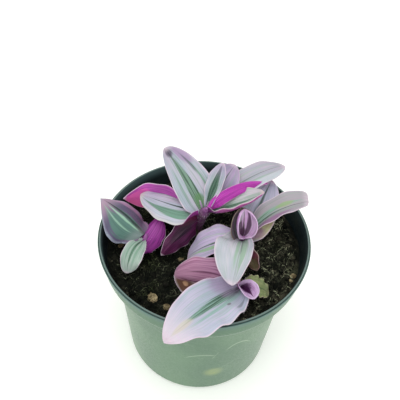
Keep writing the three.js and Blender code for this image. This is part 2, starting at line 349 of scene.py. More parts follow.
class LeafLines(Effect):
    """Where a blade's stripes, streaks, margin and veins lie, from the place on the blade."""

    STREAK_COUNTS = (15.0, 1.6)
    CLOUD_COUNTS = (2.6, 1.4)
    VEIN_COUNTS = (30.0, 1.2)
    CLOUD_SCALE = 1.3
    SHAKE = 0.22
    MARGIN_SHAKE = 0.4
    MARGIN_SPREAD = 1.5
    TIP_MARGIN = 0.9
    MIDRIB_EDGES = (0.035, 0.008)

    name = "leaf_lines"
    takes = numbers(
        Along=0.5, Across=0.0, Seed=0.0, Centre_Width=0.2, Centre_End=1.0, Left_Place=0.5, Left_Width=0.1,
        Right_Place=0.5, Right_Width=0.1, Margin_Width=0.08,
    )
    gives = ("Centre", "Left", "Right", "Margin", "Midrib", "Streaks", "Clouds", "Veins")

    def wire(self, graph: Graph, given: dict[str, Value]) -> dict[str, Value]:
        """Wire the stripes, which run from the stem to the tip and meet there.

        Args:
            graph: The group's tree.
            given: The group's inputs by name.

        Returns:
            What goes to each output, by name.
        """
        along, across, seed = given["Along"], given["Across"], given["Seed"]
        out = graph.math("ABSOLUTE", across)
        streaks = graph.noise(graph.spread(across, along, seed, self.STREAK_COUNTS), 1.0, 2.5, 0.6)
        clouds = graph.noise(graph.spread(across, along, seed, self.CLOUD_COUNTS), self.CLOUD_SCALE)
        veins = graph.noise(graph.spread(across, along, seed, self.VEIN_COUNTS), 1.0, 1.0)
        shake = graph.times(graph.math("SUBTRACT", streaks, 0.5), self.SHAKE)
        gone = graph.math("POWER", graph.math("DIVIDE", along, given["Centre End"], clamp=True), 2.0)
        left_over = graph.math("SUBTRACT", 1.0, gone)
        half = graph.times(given["Centre Width"], left_over)
        inside = graph.math("ADD", graph.math("SUBTRACT", half, out), shake)
        centre = graph.ease(inside, -0.02, 0.05)
        bands = {}
        for side, signed in (("Left", across), ("Right", graph.times(across, -1.0))):
            away = graph.math("ABSOLUTE", graph.math("SUBTRACT", signed, given[f"{side} Place"]))
            narrowed = graph.times(given[f"{side} Width"], left_over)
            inner = graph.math("SUBTRACT", narrowed, away)
            bands[side] = graph.ease(graph.math("ADD", inner, shake), -0.03, 0.07)
        rim = graph.math("SUBTRACT", 1.0, graph.times(given["Margin Width"], self.MARGIN_SPREAD))
        shaken = graph.math("ADD", out, graph.times(shake, self.MARGIN_SHAKE))
        edge = graph.ease(shaken, rim, 1.0)
        tip = graph.ease(along, self.TIP_MARGIN, 1.0)
        return {
            **bands,
            "Centre": centre,
            "Margin": graph.math("MAXIMUM", edge, tip),
            "Midrib": graph.ease(out, *self.MIDRIB_EDGES),
            "Streaks": streaks,
            "Clouds": clouds,
            "Veins": veins,
        }


class LeafSpot(Effect):
    """A patch with a soft, uneven edge on a blade."""

    EDGE_COUNTS = (7.0, 6.0)
    UNEVEN = 1.4

    name = "leaf_spot"
    takes = numbers(
        Along=0.5, Across=0.0, Seed=0.0, Middle_Along=0.5, Middle_Across=0.0, Reach_Along=0.2,
        Reach_Across=0.3,
    )
    gives = ("Mask",)

    def wire(self, graph: Graph, given: dict[str, Value]) -> dict[str, Value]:
        """Wire the distance from the patch's middle, roughened by noise.

        Args:
            graph: The group's tree.
            given: The group's inputs by name.

        Returns:
            What goes to the output, by name.
        """
        squares = []
        for way in ("Along", "Across"):
            away = graph.math("SUBTRACT", given[way], given[f"Middle {way}"])
            share = graph.math("DIVIDE", away, given[f"Reach {way}"])
            squares.append(graph.times(share, share))
        where = graph.spread(given["Across"], given["Along"], given["Seed"], self.EDGE_COUNTS)
        rough = graph.math("SUBTRACT", graph.noise(where, 1.0, 3.0, 0.6), 0.5)
        far = graph.math("ADD", squares[0], squares[1])
        uneven = graph.math("ADD", far, graph.times(rough, self.UNEVEN))
        return {"Mask": graph.ease(uneven, 1.3, 0.3)}


class ScuffLine(Effect):
    """A thin curved scuff on the front of the pot, which is its -Y side."""

    name = "scuff_line"
    takes = (
        Port("Place", Socket.PLACE),
        *numbers(Middle_X=0.0, Middle_Z=0.0, Tilt=0.0, Bend=0.0, Reach=0.01, Width=0.001),
    )
    gives = ("Mask",)

    def wire(self, graph: Graph, given: dict[str, Value]) -> dict[str, Value]:
        """Wire the distance from the curve, which fades at both ends.

        Args:
            graph: The group's tree.
            given: The group's inputs by name.

        Returns:
            What goes to the output, by name.
        """
        side, depth, height = graph.split(given["Place"])
        u = graph.math("SUBTRACT", side, given["Middle X"])
        v = graph.math("SUBTRACT", height, given["Middle Z"])
        slope = graph.times(u, given["Tilt"])
        curve = graph.times(graph.times(u, u), given["Bend"])
        off = graph.math("ABSOLUTE", graph.math("SUBTRACT", v, graph.math("ADD", slope, curve)))
        line = graph.ease(off, given["Width"], 0.0)
        far = graph.math("DIVIDE", graph.math("ABSOLUTE", u), given["Reach"])
        shown = graph.times(graph.ease(far, 1.0, 0.55), graph.math("LESS_THAN", depth, 0.0))
        return {"Mask": graph.times(line, shown)}


class Grain(Effect):
    """Fine and broad unevenness of a surface, for its colour, its gloss and its relief."""

    name = "surface_grain"
    takes = (Port("Place", Socket.PLACE), *numbers(Fine_Scale=400.0, Broad_Scale=30.0))
    gives = ("Fine", "Broad", "Height")

    def wire(self, graph: Graph, given: dict[str, Value]) -> dict[str, Value]:
        """Wire two layers of noise and their sum.

        Args:
            graph: The group's tree.
            given: The group's inputs by name.

        Returns:
            What goes to each output, by name.
        """
        fine = graph.noise(given["Place"], given["Fine Scale"], 3.0, 0.6)
        broad = graph.noise(given["Place"], given["Broad Scale"], 3.0)
        height = graph.math("ADD", graph.times(fine, 0.4), broad)
        return {"Fine": fine, "Broad": broad, "Height": height}


LEAF_LINES = LeafLines()
LEAF_SPOT = LeafSpot()
SCUFF_LINE = ScuffLine()
GRAIN = Grain()


# Finishes


@dataclass(frozen=True)
class Finish:
    """A material with one Principled shader."""

    name: str

    def paint(self, graph: Graph, shader: Node) -> None:
        """Wire the finish's colour, gloss and relief into its shader."""
        raise NotImplementedError

    def material(self) -> bpy.types.Material:
        """Build the material once, and give the same one after that.

        Returns:
            The material.
        """
        known = bpy.data.materials.get(self.name)
        if known:
            return known
        made = bpy.data.materials.new(self.name)
        made.use_nodes = True
        graph = Graph(made.node_tree)
        shader = graph.node("ShaderNodeBsdfPrincipled")
        end = graph.node("ShaderNodeOutputMaterial")
        graph.feed(end.inputs["Surface"], shader.outputs[0])
        self.paint(graph, shader)
        return made

    def relief(self, graph: Graph, shader: Node, height: Value, depth: float) -> None:
        """Give the shader a bump.

        Args:
            graph: The material's tree.
            shader: Its shader.
            height: The relief's height from 0 to 1.
            depth: Its depth in metres.
        """
        bump = graph.node("ShaderNodeBump")
        bump.inputs["Strength"].default_value = 1.0
        bump.inputs["Distance"].default_value = depth
        graph.feed(bump.inputs["Height"], height)
        graph.feed(shader.inputs["Normal"], bump.outputs[0])


LILAC_WHITE = tint(192, 190, 204)
COOL_LILAC = tint(168, 178, 190)
SAGE = tint(112, 146, 124)
DEEP_GREEN = tint(52, 80, 62)
MINT = tint(150, 180, 162)
ROSE_WHITE = tint(222, 204, 216)
MAUVE = tint(150, 108, 152)
MAGENTA = tint(176, 56, 160)
PLUM = tint(104, 28, 96)
BLACK = tint(0, 0, 0)


@dataclass(frozen=True)
class Spot:
    """A patch of another colour on one side of a blade."""

    colour: Colour
    along: float
    across: float
    reach_along: float
    reach_across: float
    strength: float = 0.85
    under: bool = False


@dataclass(frozen=True)
class LeafPaint(Finish):
    """A blade's colours: its upper side with stripes, and its underside.

    The mesh's leaf_place gives the place along the blade, across it, and 1 above or 0 below.
    """

    seed: float = 0.0
    ground: Colour = LILAC_WHITE
    cloud: Colour = COOL_LILAC
    stripe: Colour = SAGE
    line: Colour = DEEP_GREEN
    side: Colour = MINT
    margin: Colour = ROSE_WHITE
    blush: Colour = MAUVE
    base_blush: float = 0.15
    tip_blush: float = 0.1
    under: Colour = MAGENTA
    under_line: Colour = PLUM
    under_margin: Colour = ROSE_WHITE
    centre_width: float = 0.2
    centre_end: float = 0.95
    left_place: float = 0.5
    left_width: float = 0.06
    right_place: float = 0.5
    right_width: float = 0.06
    margin_width: float = 0.055
    gloss: float = 0.42
    # Strength of the underside's glow: painted light that stands in for light shining through the blade.
    lit: float = 0.0
    lit_along: Pair = (0.55, 0.8)
    spots: tuple[Spot, ...] = ()

    SPOT_SEED = 0.37

    def lines(self, graph: Graph, along: Value, across: Value) -> Node:
        """Place the stripes with this blade's own widths.

        Args:
            graph: The material's tree.
            along: Place along the blade.
            across: Place across it.

        Returns:
            The group's node.
        """
        return LEAF_LINES.add(
            graph, Along=along, Across=across, Seed=self.seed, Centre_Width=self.centre_width,
            Centre_End=self.centre_end, Left_Place=self.left_place, Left_Width=self.left_width,
            Right_Place=self.right_place, Right_Width=self.right_width, Margin_Width=self.margin_width,
        )

    def spotted(self, graph: Graph, colour: Value, along: Value, across: Value, under: bool) -> Value:
        """Lay the patches of one side over its colour.

        Args:
            graph: The material's tree.
            colour: The side's colour.
            along: Place along the blade.
            across: Place across it.
            under: Whether it is the underside.

        Returns:
            The colour's socket.
        """
        for number, spot in enumerate(self.spots):
            if spot.under != under:
                continue
            mask = LEAF_SPOT.add(
                graph, Along=along, Across=across, Seed=self.seed + self.SPOT_SEED * number,
                Middle_Along=spot.along, Middle_Across=spot.across, Reach_Along=spot.reach_along,
                Reach_Across=spot.reach_across,
            )
            share = graph.times(mask.outputs["Mask"], spot.strength)
            colour = graph.mix(share, colour, spot.colour)
        return colour

    def upper(self, graph: Graph, lines: Node, along: Value, across: Value) -> Value:
        """Mix the upper side's colour.

        Args:
            graph: The material's tree.
            lines: The stripes' node.
            along: Place along the blade.
            across: Place across it.

        Returns:
            The colour's socket.
        """
        at = lines.outputs
        colour = graph.mix(graph.ease(at["Clouds"], 0.35, 0.65), self.ground, self.cloud)
        thin_line = graph.ease(at["Veins"], 0.5, 0.72, 0.0, 0.42)
        colour = graph.mix(thin_line, colour, self.stripe)
        pale_streak = graph.ease(at["Streaks"], 0.5, 0.7, 0.0, 0.55)
        colour = graph.mix(pale_streak, colour, self.side)
        for band in ("Left", "Right"):
            colour = graph.mix(graph.times(at[band], 0.9), colour, self.side)
            streaked = graph.times(at[band], graph.ease(at["Veins"], 0.45, 0.65, 0.0, 0.5))
            colour = graph.mix(streaked, colour, self.stripe)
        colour = graph.mix(graph.times(at["Centre"], 0.95), colour, self.stripe)
        dark = graph.times(at["Centre"], graph.ease(at["Streaks"], 0.42, 0.6))
        fade = graph.ease(along, 0.1, 0.9, 1.0, 0.45)
        colour = graph.mix(graph.times(dark, fade), colour, self.line)
        pale = graph.times(at["Centre"], graph.ease(at["Veins"], 0.56, 0.68, 0.0, 0.55))
        colour = graph.mix(pale, colour, self.side)
        colour = graph.mix(graph.times(at["Midrib"], 0.5), colour, self.line)
        # Towards the foot the blade turns mauve: partly its own blush, partly painted shade by the stem.
        base = graph.ease(along, 0.28, 0.02, 0.0, self.base_blush)
        tip = graph.ease(along, 0.6, 1.0, 0.0, self.tip_blush)
        colour = graph.mix(graph.math("ADD", base, tip, clamp=True), colour, self.blush)
        colour = self.spotted(graph, colour, along, across, under=False)
        edge = graph.times(at["Margin"], graph.ease(at["Clouds"], 0.3, 0.6, 0.35, 0.85))
        edge = graph.times(edge, graph.ease(along, 0.04, 0.16))
        return graph.mix(edge, colour, self.margin)

    def paint(self, graph: Graph, shader: Node) -> None:
        """Wire both sides' colours, with faint veins in relief.

        Args:
            graph: The material's tree.
            shader: Its shader.
        """
        place = graph.mark("leaf_place").outputs["Vector"]
        along, across, face = graph.split(place)
        lines = self.lines(graph, along, across)
        at = lines.outputs
        veined = graph.mix(graph.ease(at["Streaks"], 0.38, 0.68, 0.0, 0.9), self.under, self.under_line)
        veined = graph.mix(graph.ease(at["Veins"], 0.5, 0.75, 0.0, 0.5), veined, self.under_line)
        veined = self.spotted(graph, veined, along, across, under=True)
        edge = graph.ease(at["Margin"], 0.6, 1.0, 0.0, 0.7)
        edge = graph.times(edge, graph.ease(along, 0.1, 0.24))
        below = graph.mix(edge, veined, self.under_margin)
        colour = graph.mix(face, below, self.upper(graph, lines, along, across))
        graph.feed(shader.inputs["Base Color"], colour)
        # Painted light: the underside glows towards the tip, as if light shone through the blade.
        if self.lit:
            through = graph.math("SUBTRACT", graph.ease(along, *self.lit_along), face, clamp=True)
            graph.feed(shader.inputs["Emission Color"], graph.mix(through, BLACK, below))
            shader.inputs["Emission Strength"].default_value = self.lit
        rough = graph.ease(at["Streaks"], 0.3, 0.7, self.gloss - 0.06, self.gloss + 0.08)
        graph.feed(shader.inputs["Roughness"], rough)
        shader.inputs["Specular IOR Level"].default_value = 0.35
        shader.inputs["Subsurface Weight"].default_value = 0.3
        shader.inputs["Subsurface Radius"].default_value = (0.9, 0.6, 0.8)
        shader.inputs["Subsurface Scale"].default_value = 0.6 * MM
        cells = graph.times(graph.noise(place, 130.0, 1.0), 0.25)
        self.relief(graph, shader, graph.math("ADD", at["Veins"], cells), 0.2 * MM)


@dataclass(frozen=True)
class StemFinish(Finish):
    """A fleshy stem, greenish with painted shade, purple streaks, purple sheaths and a mauve tip."""

    # The stem's own dull green, painted darker as shade among the leaves.
    flesh_and_shade: Colour = tint(84, 92, 60)
    streak: Colour = tint(84, 36, 68)
    sheath: Colour = tint(104, 56, 100)
    tip: Colour = tint(156, 92, 156)

    def paint(self, graph: Graph, shader: Node) -> None:
        """Wire the streaks, the sheaths and a soft gloss.

        Args:
            graph: The material's tree.
            shader: Its shader.
        """
        place = graph.mark("stem_place").outputs["Vector"]
        streaks = graph.noise(place, 1.0, 2.0)
        colour = graph.mix(graph.ease(streaks, 0.4, 0.62), self.flesh_and_shade, self.streak)
        sheath = graph.mark("stem_sheath").outputs["Fac"]
        colour = graph.mix(graph.times(sheath, 0.7), colour, self.sheath)
        colour = graph.mix(graph.mark("stem_tip").outputs["Fac"], colour, self.tip)
        graph.feed(shader.inputs["Base Color"], colour)
        graph.feed(shader.inputs["Roughness"], graph.ease(streaks, 0.3, 0.7, 0.38, 0.5))
        self.relief(graph, shader, streaks, 0.15 * MM)


@dataclass(frozen=True)
class Scuff:
    """One curved scuff on the pot's front. Sizes are millimetres."""

    middle_x: float
    middle_z: float
    tilt: float
    bend: float
    reach: float
    width: float = 0.9
    strength: float = 0.5


@dataclass(frozen=True)
class PotFinish(Finish):
    """Thin moulded plastic, sage green, with scuffs, a stain, and painted light and shade at the rim."""

    outside: Colour = tint(82, 119, 88)
    cooler: Colour = tint(65, 104, 77)
    collar: Colour = tint(60, 103, 74)
    top: Colour = tint(76, 108, 106)
    lip: Colour = tint(98, 120, 114)
    groove_shade: Colour = tint(54, 78, 76)
    scuff: Colour = tint(158, 178, 152)
    stain: Colour = tint(158, 170, 96)
    stain_place: Triple = (10.7, -47.5, 27.5)
    stain_reach: float = 8.0
    collar_place: float = 89.0
    rim_place: float = 60.0
    ledge_place: float = 103.3
    scuffs: tuple[Scuff, ...] = (
        Scuff(23.0, 62.6, 0.0, -0.12, 8.0, 1.1, 0.7),
        Scuff(2.0, 53.6, 0.2, -0.04, 10.0, 1.0, 0.6),
        Scuff(10.5, 52.0, 2.5, 0.0, 2.0, 1.2, 0.3),
        Scuff(16.0, 33.0, 0.5, 0.03, 9.0, 0.8, 0.25),
        Scuff(-14.0, 70.0, -0.1, 0.02, 12.0, 0.8, 0.25),
    )

    SCRATCH_COUNTS = (55.0, 55.0, 240.0)
    SCRATCH_TURN = (0.25, 0.1, 0.0)

    def scratches(self, graph: Graph, place: Value) -> Value:
        """Mask the faint scratches that are strewn over the wall.

        Args:
            graph: The material's tree.
            place: The surface's place in metres.

        Returns:
            The mask's socket.
        """
        mapping = graph.node("ShaderNodeMapping")
        graph.feed(mapping.inputs["Vector"], place)
        mapping.inputs["Scale"].default_value = self.SCRATCH_COUNTS
        mapping.inputs["Rotation"].default_value = self.SCRATCH_TURN
        thin = graph.noise(mapping.outputs[0], 1.0, 2.0)
        line = graph.ease(graph.math("ABSOLUTE", graph.math("SUBTRACT", thin, 0.5)), 0.012, 0.0)
        patches = graph.ease(graph.noise(place, 28.0, 1.0), 0.52, 0.68)
        return graph.times(line, patches)

    def bands(self, graph: Graph, colour: Value, place: Value) -> Value:
        """Tint the collar; paint light at its top, shade in the lip's groove and a highlight on the lip.

        Args:
            graph: The material's tree.
            colour: The wall's colour.
            place: The surface's place in metres.

        Returns:
            The colour's socket.
        """
        side, depth, height = graph.split(place)
        low, high = (self.collar_place - 0.3) * MM, (self.collar_place + 0.6) * MM
        colour = graph.mix(graph.ease(height, low, high, 0.0, 0.8), colour, self.collar)
        # Painted light: the collar turns lighter and bluer towards its top edge.
        top = graph.ease(height, (self.ledge_place - 7.0) * MM, self.ledge_place * MM, 0.0, 0.7)
        colour = graph.mix(top, colour, self.top)
        radius = graph.node("ShaderNodeVectorMath", operation="LENGTH")
        graph.feed(radius.inputs[0], graph.place(side, depth, 0.0))
        # Painted shade: the groove round the lip is darkened.
        outer, inner = (self.rim_place - 0.4) * MM, (self.rim_place - 0.55) * MM
        low, high = (self.ledge_place - 0.9) * MM, (self.ledge_place - 0.7) * MM
        within = graph.ease(radius.outputs["Value"], outer, inner)
        within = graph.times(within, graph.ease(height, low, high))
        colour = graph.mix(within, colour, self.groove_shade)
        # Painted highlight: a paler line along the top of the lip.
        lip = graph.ease(height, (self.ledge_place + 0.05) * MM, (self.ledge_place + 0.4) * MM)
        return graph.mix(graph.times(within, lip), colour, self.lip)

    def paint(self, graph: Graph, shader: Node) -> None:
        """Wire the wall's colours, the scuffs and the moulded surface.

        Args:
            graph: The material's tree.
            shader: Its shader.
        """
        place = graph.own_place()
        grain = GRAIN.add(graph, Place=place, Fine_Scale=900.0, Broad_Scale=24.0)
        cloudy = graph.mix(graph.ease(grain.outputs["Broad"], 0.35, 0.65), self.outside, self.cooler)
        banded = self.bands(graph, cloudy, place)
        scratches = self.scratches(graph, place)
        worn = graph.mix(graph.times(scratches, 0.2), banded, self.scuff)
        for scuff in self.scuffs:
            line = SCUFF_LINE.add(
                graph, Place=place, Middle_X=scuff.middle_x * MM, Middle_Z=scuff.middle_z * MM,
                Tilt=scuff.tilt, Bend=scuff.bend / MM, Reach=scuff.reach * MM, Width=scuff.width * MM,
            )
            worn = graph.mix(graph.times(line.outputs["Mask"], scuff.strength), worn, self.scuff)
        away = graph.node("ShaderNodeVectorMath", operation="DISTANCE")
        graph.feed(away.inputs[0], place)
        away.inputs[1].default_value = metres(self.stain_place)
        near = graph.ease(away.outputs["Value"], self.stain_reach * MM, 0.2 * self.stain_reach * MM)
        stained = graph.mix(graph.times(near, grain.outputs["Fine"]), worn, self.stain)
        graph.feed(shader.inputs["Base Color"], stained)
        rough = graph.ease(grain.outputs["Fine"], 0.3, 0.7, 0.3, 0.46)
        graph.feed(shader.inputs["Roughness"], rough)
        shader.inputs["Specular IOR Level"].default_value = 0.5
        shader.inputs["Sheen Weight"].default_value = 0.18
        shader.inputs["Sheen Roughness"].default_value = 0.45
        shader.inputs["Sheen Tint"].default_value = tint(226, 242, 222)
        self.relief(graph, shader, grain.outputs["Height"], 0.05 * MM)


@dataclass(frozen=True)
class PotInsideFinish(Finish):
    """The pot's inside wall, near black, stained by soil, with painted light near its top."""

    wall: Colour = tint(20, 32, 34)
    top: Colour = tint(84, 108, 108)
    splash: Colour = tint(44, 52, 44)
    top_place: float = 104.0

    def paint(self, graph: Graph, shader: Node) -> None:
        """Wire the dark plastic with dried splashes of soil, and painted light near its top.

        Args:
            graph: The material's tree.
            shader: Its shader.
        """
        place = graph.own_place()
        grain = GRAIN.add(graph, Place=place, Fine_Scale=700.0, Broad_Scale=90.0)
        side, _, height = graph.split(place)
        # Painted light: the wall turns lighter near its top, more on its left side.
        lit_near_top = graph.ease(height, (self.top_place - 7.0) * MM, self.top_place * MM, 0.0, 0.8)
        lit = graph.times(lit_near_top, graph.ease(side, 20 * MM, -20 * MM, 0.25, 1.0))
        splashed = graph.ease(grain.outputs["Broad"], 0.5, 0.7, 0.0, 0.7)
        colour = graph.mix(lit, graph.mix(splashed, self.wall, self.splash), self.top)
        graph.feed(shader.inputs["Base Color"], colour)
        graph.feed(shader.inputs["Roughness"], graph.ease(grain.outputs["Fine"], 0.3, 0.7, 0.5, 0.7))
        shader.inputs["Specular IOR Level"].default_value = 0.25
        self.relief(graph, shader, grain.outputs["Height"], 0.05 * MM)


@dataclass(frozen=True)
class EarthFinish(Finish):
    """Peat or what lies in it, with each grain's own tone and painted shade towards the left."""

    dark: Colour = tint(11, 14, 11)
    light: Colour = tint(128, 126, 104)
    moss: Colour = tint(78, 90, 54)
    left_shade: float = 0.7
    rough: float = 0.85

    def paint(self, graph: Graph, shader: Node) -> None:
        """Wire the tones from each grain's mark and the earth's grain, with painted shade on the left.

        Args:
            graph: The material's tree.
            shader: Its shader.
        """
        place = graph.own_place()
        grain = GRAIN.add(graph, Place=place, Fine_Scale=900.0, Broad_Scale=160.0)
        tone = graph.mark("tone").outputs["Fac"]
        # Painted shade: the tones darken towards the left, where the plant shades the soil.
        painted_side_light = graph.ease(graph.split(place)[0], -20 * MM, 35 * MM, 1.0 - self.left_shade, 1.0)
        uneven = graph.ease(grain.outputs["Broad"], 0.35, 0.65, 0.15, 1.3)
        lit = graph.times(graph.times(tone, painted_side_light), uneven)
        colour = graph.mix(lit, self.dark, self.light)
        greenish = graph.ease(graph.noise(place, 60.0, 1.0), 0.56, 0.68, 0.0, 0.5)
        colour = graph.mix(graph.times(greenish, tone), colour, self.moss)
        graph.feed(shader.inputs["Base Color"], colour)
        rough = graph.ease(grain.outputs["Fine"], 0.3, 0.7, self.rough - 0.15, self.rough)
        graph.feed(shader.inputs["Roughness"], rough)
        shader.inputs["Specular IOR Level"].default_value = 0.06
        self.relief(graph, shader, grain.outputs["Height"], 0.4 * MM)


@dataclass(frozen=True)
class PlainFinish(Finish):
    """A plain matt surface, such as the floor's or a hair's."""

    colour: Colour = tint(246, 248, 243)
    rough: float = 0.8
    glow: float = 0.2

    def paint(self, graph: Graph, shader: Node) -> None:
        """Set the shader's own colour, its roughness and its faint glow.

        Args:
            graph: The material's tree.
            shader: Its shader.
        """
        shader.inputs["Base Color"].default_value = self.colour
        shader.inputs["Emission Color"].default_value = self.colour
        shader.inputs["Emission Strength"].default_value = self.glow
        shader.inputs["Roughness"].default_value = self.rough
        shader.inputs["Specular IOR Level"].default_value = 0.1


# Meshes


@dataclass
class MeshDraft:
    """Points, faces and marks that are gathered before they become one mesh. Points are millimetres."""

    points: list[Array] = field(default_factory=list)
    faces: Faces = field(default_factory=list)
    marks: dict[str, list[Array]] = field(default_factory=dict)
    count: int = 0

    def add(self, points: Array, faces: Faces, **marks: Array) -> None:
        """Add a patch.

        Args:
            points: The patch's points.
            faces: Its faces, numbered from the patch's first point.
            marks: Values for each point, or one triple for each, by the mark's name.
        """
        self.points.append(points)
        self.faces.extend([corner + self.count for corner in face] for face in faces)
        for name, values in marks.items():
            self.marks.setdefault(name, []).append(values)
        self.count += len(points)

    def piece(self, name: str, material: bpy.types.Material, sharp: float = 40.0) -> bpy.types.Object:
        """Make the mesh and its object.

        Args:
            name: The object's name.
            material: What it is made of.
            sharp: The least angle of an edge that stays sharp.

        Returns:
            The new object, in the scene.
        """
        mesh = bpy.data.meshes.new(name)
        mesh.from_pydata((np.concatenate(self.points) * MM).tolist(), [], self.faces)
        for mark, values in self.marks.items():
            joined = np.concatenate(values).astype(np.float32)
            kind, field_name = ("FLOAT", "value") if joined.ndim == 1 else ("FLOAT_VECTOR", "vector")
            mesh.attributes.new(mark, kind, "POINT").data.foreach_set(field_name, joined.ravel())
        mesh.materials.append(material)
        mesh.polygons.foreach_set("use_smooth", [True] * len(mesh.polygons))
        mesh.update()
        mesh.set_sharp_from_angle(angle=math.radians(sharp))
        piece = bpy.data.objects.new(name, mesh)
        bpy.context.scene.collection.objects.link(piece)
        return piece


def settle(piece: bpy.types.Object, slot: Slot, *nodes: str) -> None:
    """Let a piece ride on the model's body and stand for its nodes.

    Args:
        piece: The finished piece.
        slot: The material slot that it takes its finish from. It is not used.
        nodes: The model's nodes that it replaces.
    """
    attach(piece, BODY)
    if nodes:
        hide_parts(*nodes)
    log.info("%s: %d faces", piece.name, len(piece.data.polygons))


def grid_faces(rows: int, columns: int, wrap: bool = False, flip: bool = False) -> Faces:
    """Number the quads of a grid of points.

    Args:
        rows: How many rows of points there are.
        columns: How many points a row has.
        wrap: Whether each row closes on itself.
        flip: Whether the faces look the other way.

    Returns:
        The faces.
    """
    faces = []
    for row in range(rows - 1):
        for column in range(columns if wrap else columns - 1):
            beside = (column + 1) % columns
            low, high = row * columns, (row + 1) * columns
            face = [low + column, low + beside, high + beside, high + column]
            faces.append(face[::-1] if flip else face)
    return faces


def unit(vectors: Array) -> Array:
    """Scale vectors to length 1."""
    return vectors / np.maximum(np.linalg.norm(vectors, axis=-1, keepdims=True), 1e-9)


def tube(path: Array, radii: Array, sides: int, square_to: list[float]) -> Patch:
    """Wrap a closed tube round a line.

    Args:
        path: The line's points.
        radii: The tube's radius at each point.
        sides: How many sides it has.
        square_to: A direction that the line never follows. Each ring starts square to it.

    Returns:
        The tube's points ring by ring, and its faces.
    """
    growth = unit(np.gradient(path, axis=0))
    side = unit(np.cross(growth, np.array(square_to)))
    other = np.cross(growth, side)
    turn = np.linspace(0, 2 * math.pi, sides, endpoint=False)
    ring = np.cos(turn)[None, :, None] * side[:, None] + np.sin(turn)[None, :, None] * other[:, None]
    points = (path[:, None] + ring * radii[:, None, None]).reshape(-1, 3)
    faces = grid_faces(len(path), sides, wrap=True)
    last = (len(path) - 1) * sides
    faces.append(list(range(sides))[::-1])
    faces.append([last + index for index in range(sides)])
    return points, faces


def turned(profile: Profile, sides: int) -> Patch:
    """Turn a closed profile about the pot's axis.

    Args:
        profile: Points of radius and height, from the axis back to the axis.
        sides: How many sides the turned shape has.

    Returns:
        Its points, ring by ring with one point at each end, and its faces.
    """
    turn = np.linspace(0, 2 * math.pi, sides, endpoint=False)
    rings = [
        np.stack([radius * np.cos(turn), radius * np.sin(turn), np.full(sides, height)], -1)
        for radius, height in profile[1:-1]
    ]
    ends = np.array([[0.0, 0.0, profile[0][1]], [0.0, 0.0, profile[-1][1]]])
    points = np.concatenate([*rings, ends])
    faces = grid_faces(len(rings), sides, wrap=True)
    first, last = len(rings) * sides, len(rings) * sides + 1
    final = (len(rings) - 1) * sides
    for index in range(sides):
        after = (index + 1) % sides
        faces.append([first, after, index])
        faces.append([last, final + index, final + after])
    return points, faces


def rounded(corner: Pair, radius: float, start: float, end: float, steps: int) -> Profile:
    """Give the points of an arc.

    Args:
        corner: The arc's centre.
        radius: Its radius.
        start: The angle of its first point.
        end: The angle of its last point.
        steps: How many steps it has.

    Returns:
        Its points.
    """
    across, up = corner
    angles = np.radians(np.linspace(start, end, steps + 1))
    return [(across + radius * math.cos(angle), up + radius * math.sin(angle)) for angle in angles]


def between(draw: np.random.Generator, low: float, high: float, bias: float = 1.0) -> float:
    """Draw a number from low to high.

    Args:
        draw: The seeded generator.
        low: The least that it may be.
        high: The most.
        bias: How far the low ones outweigh the high ones, from 1 for evenly.

    Returns:
        The number.
    """
    return low + (high - low) * draw.random() ** bias


# Leaves and stems


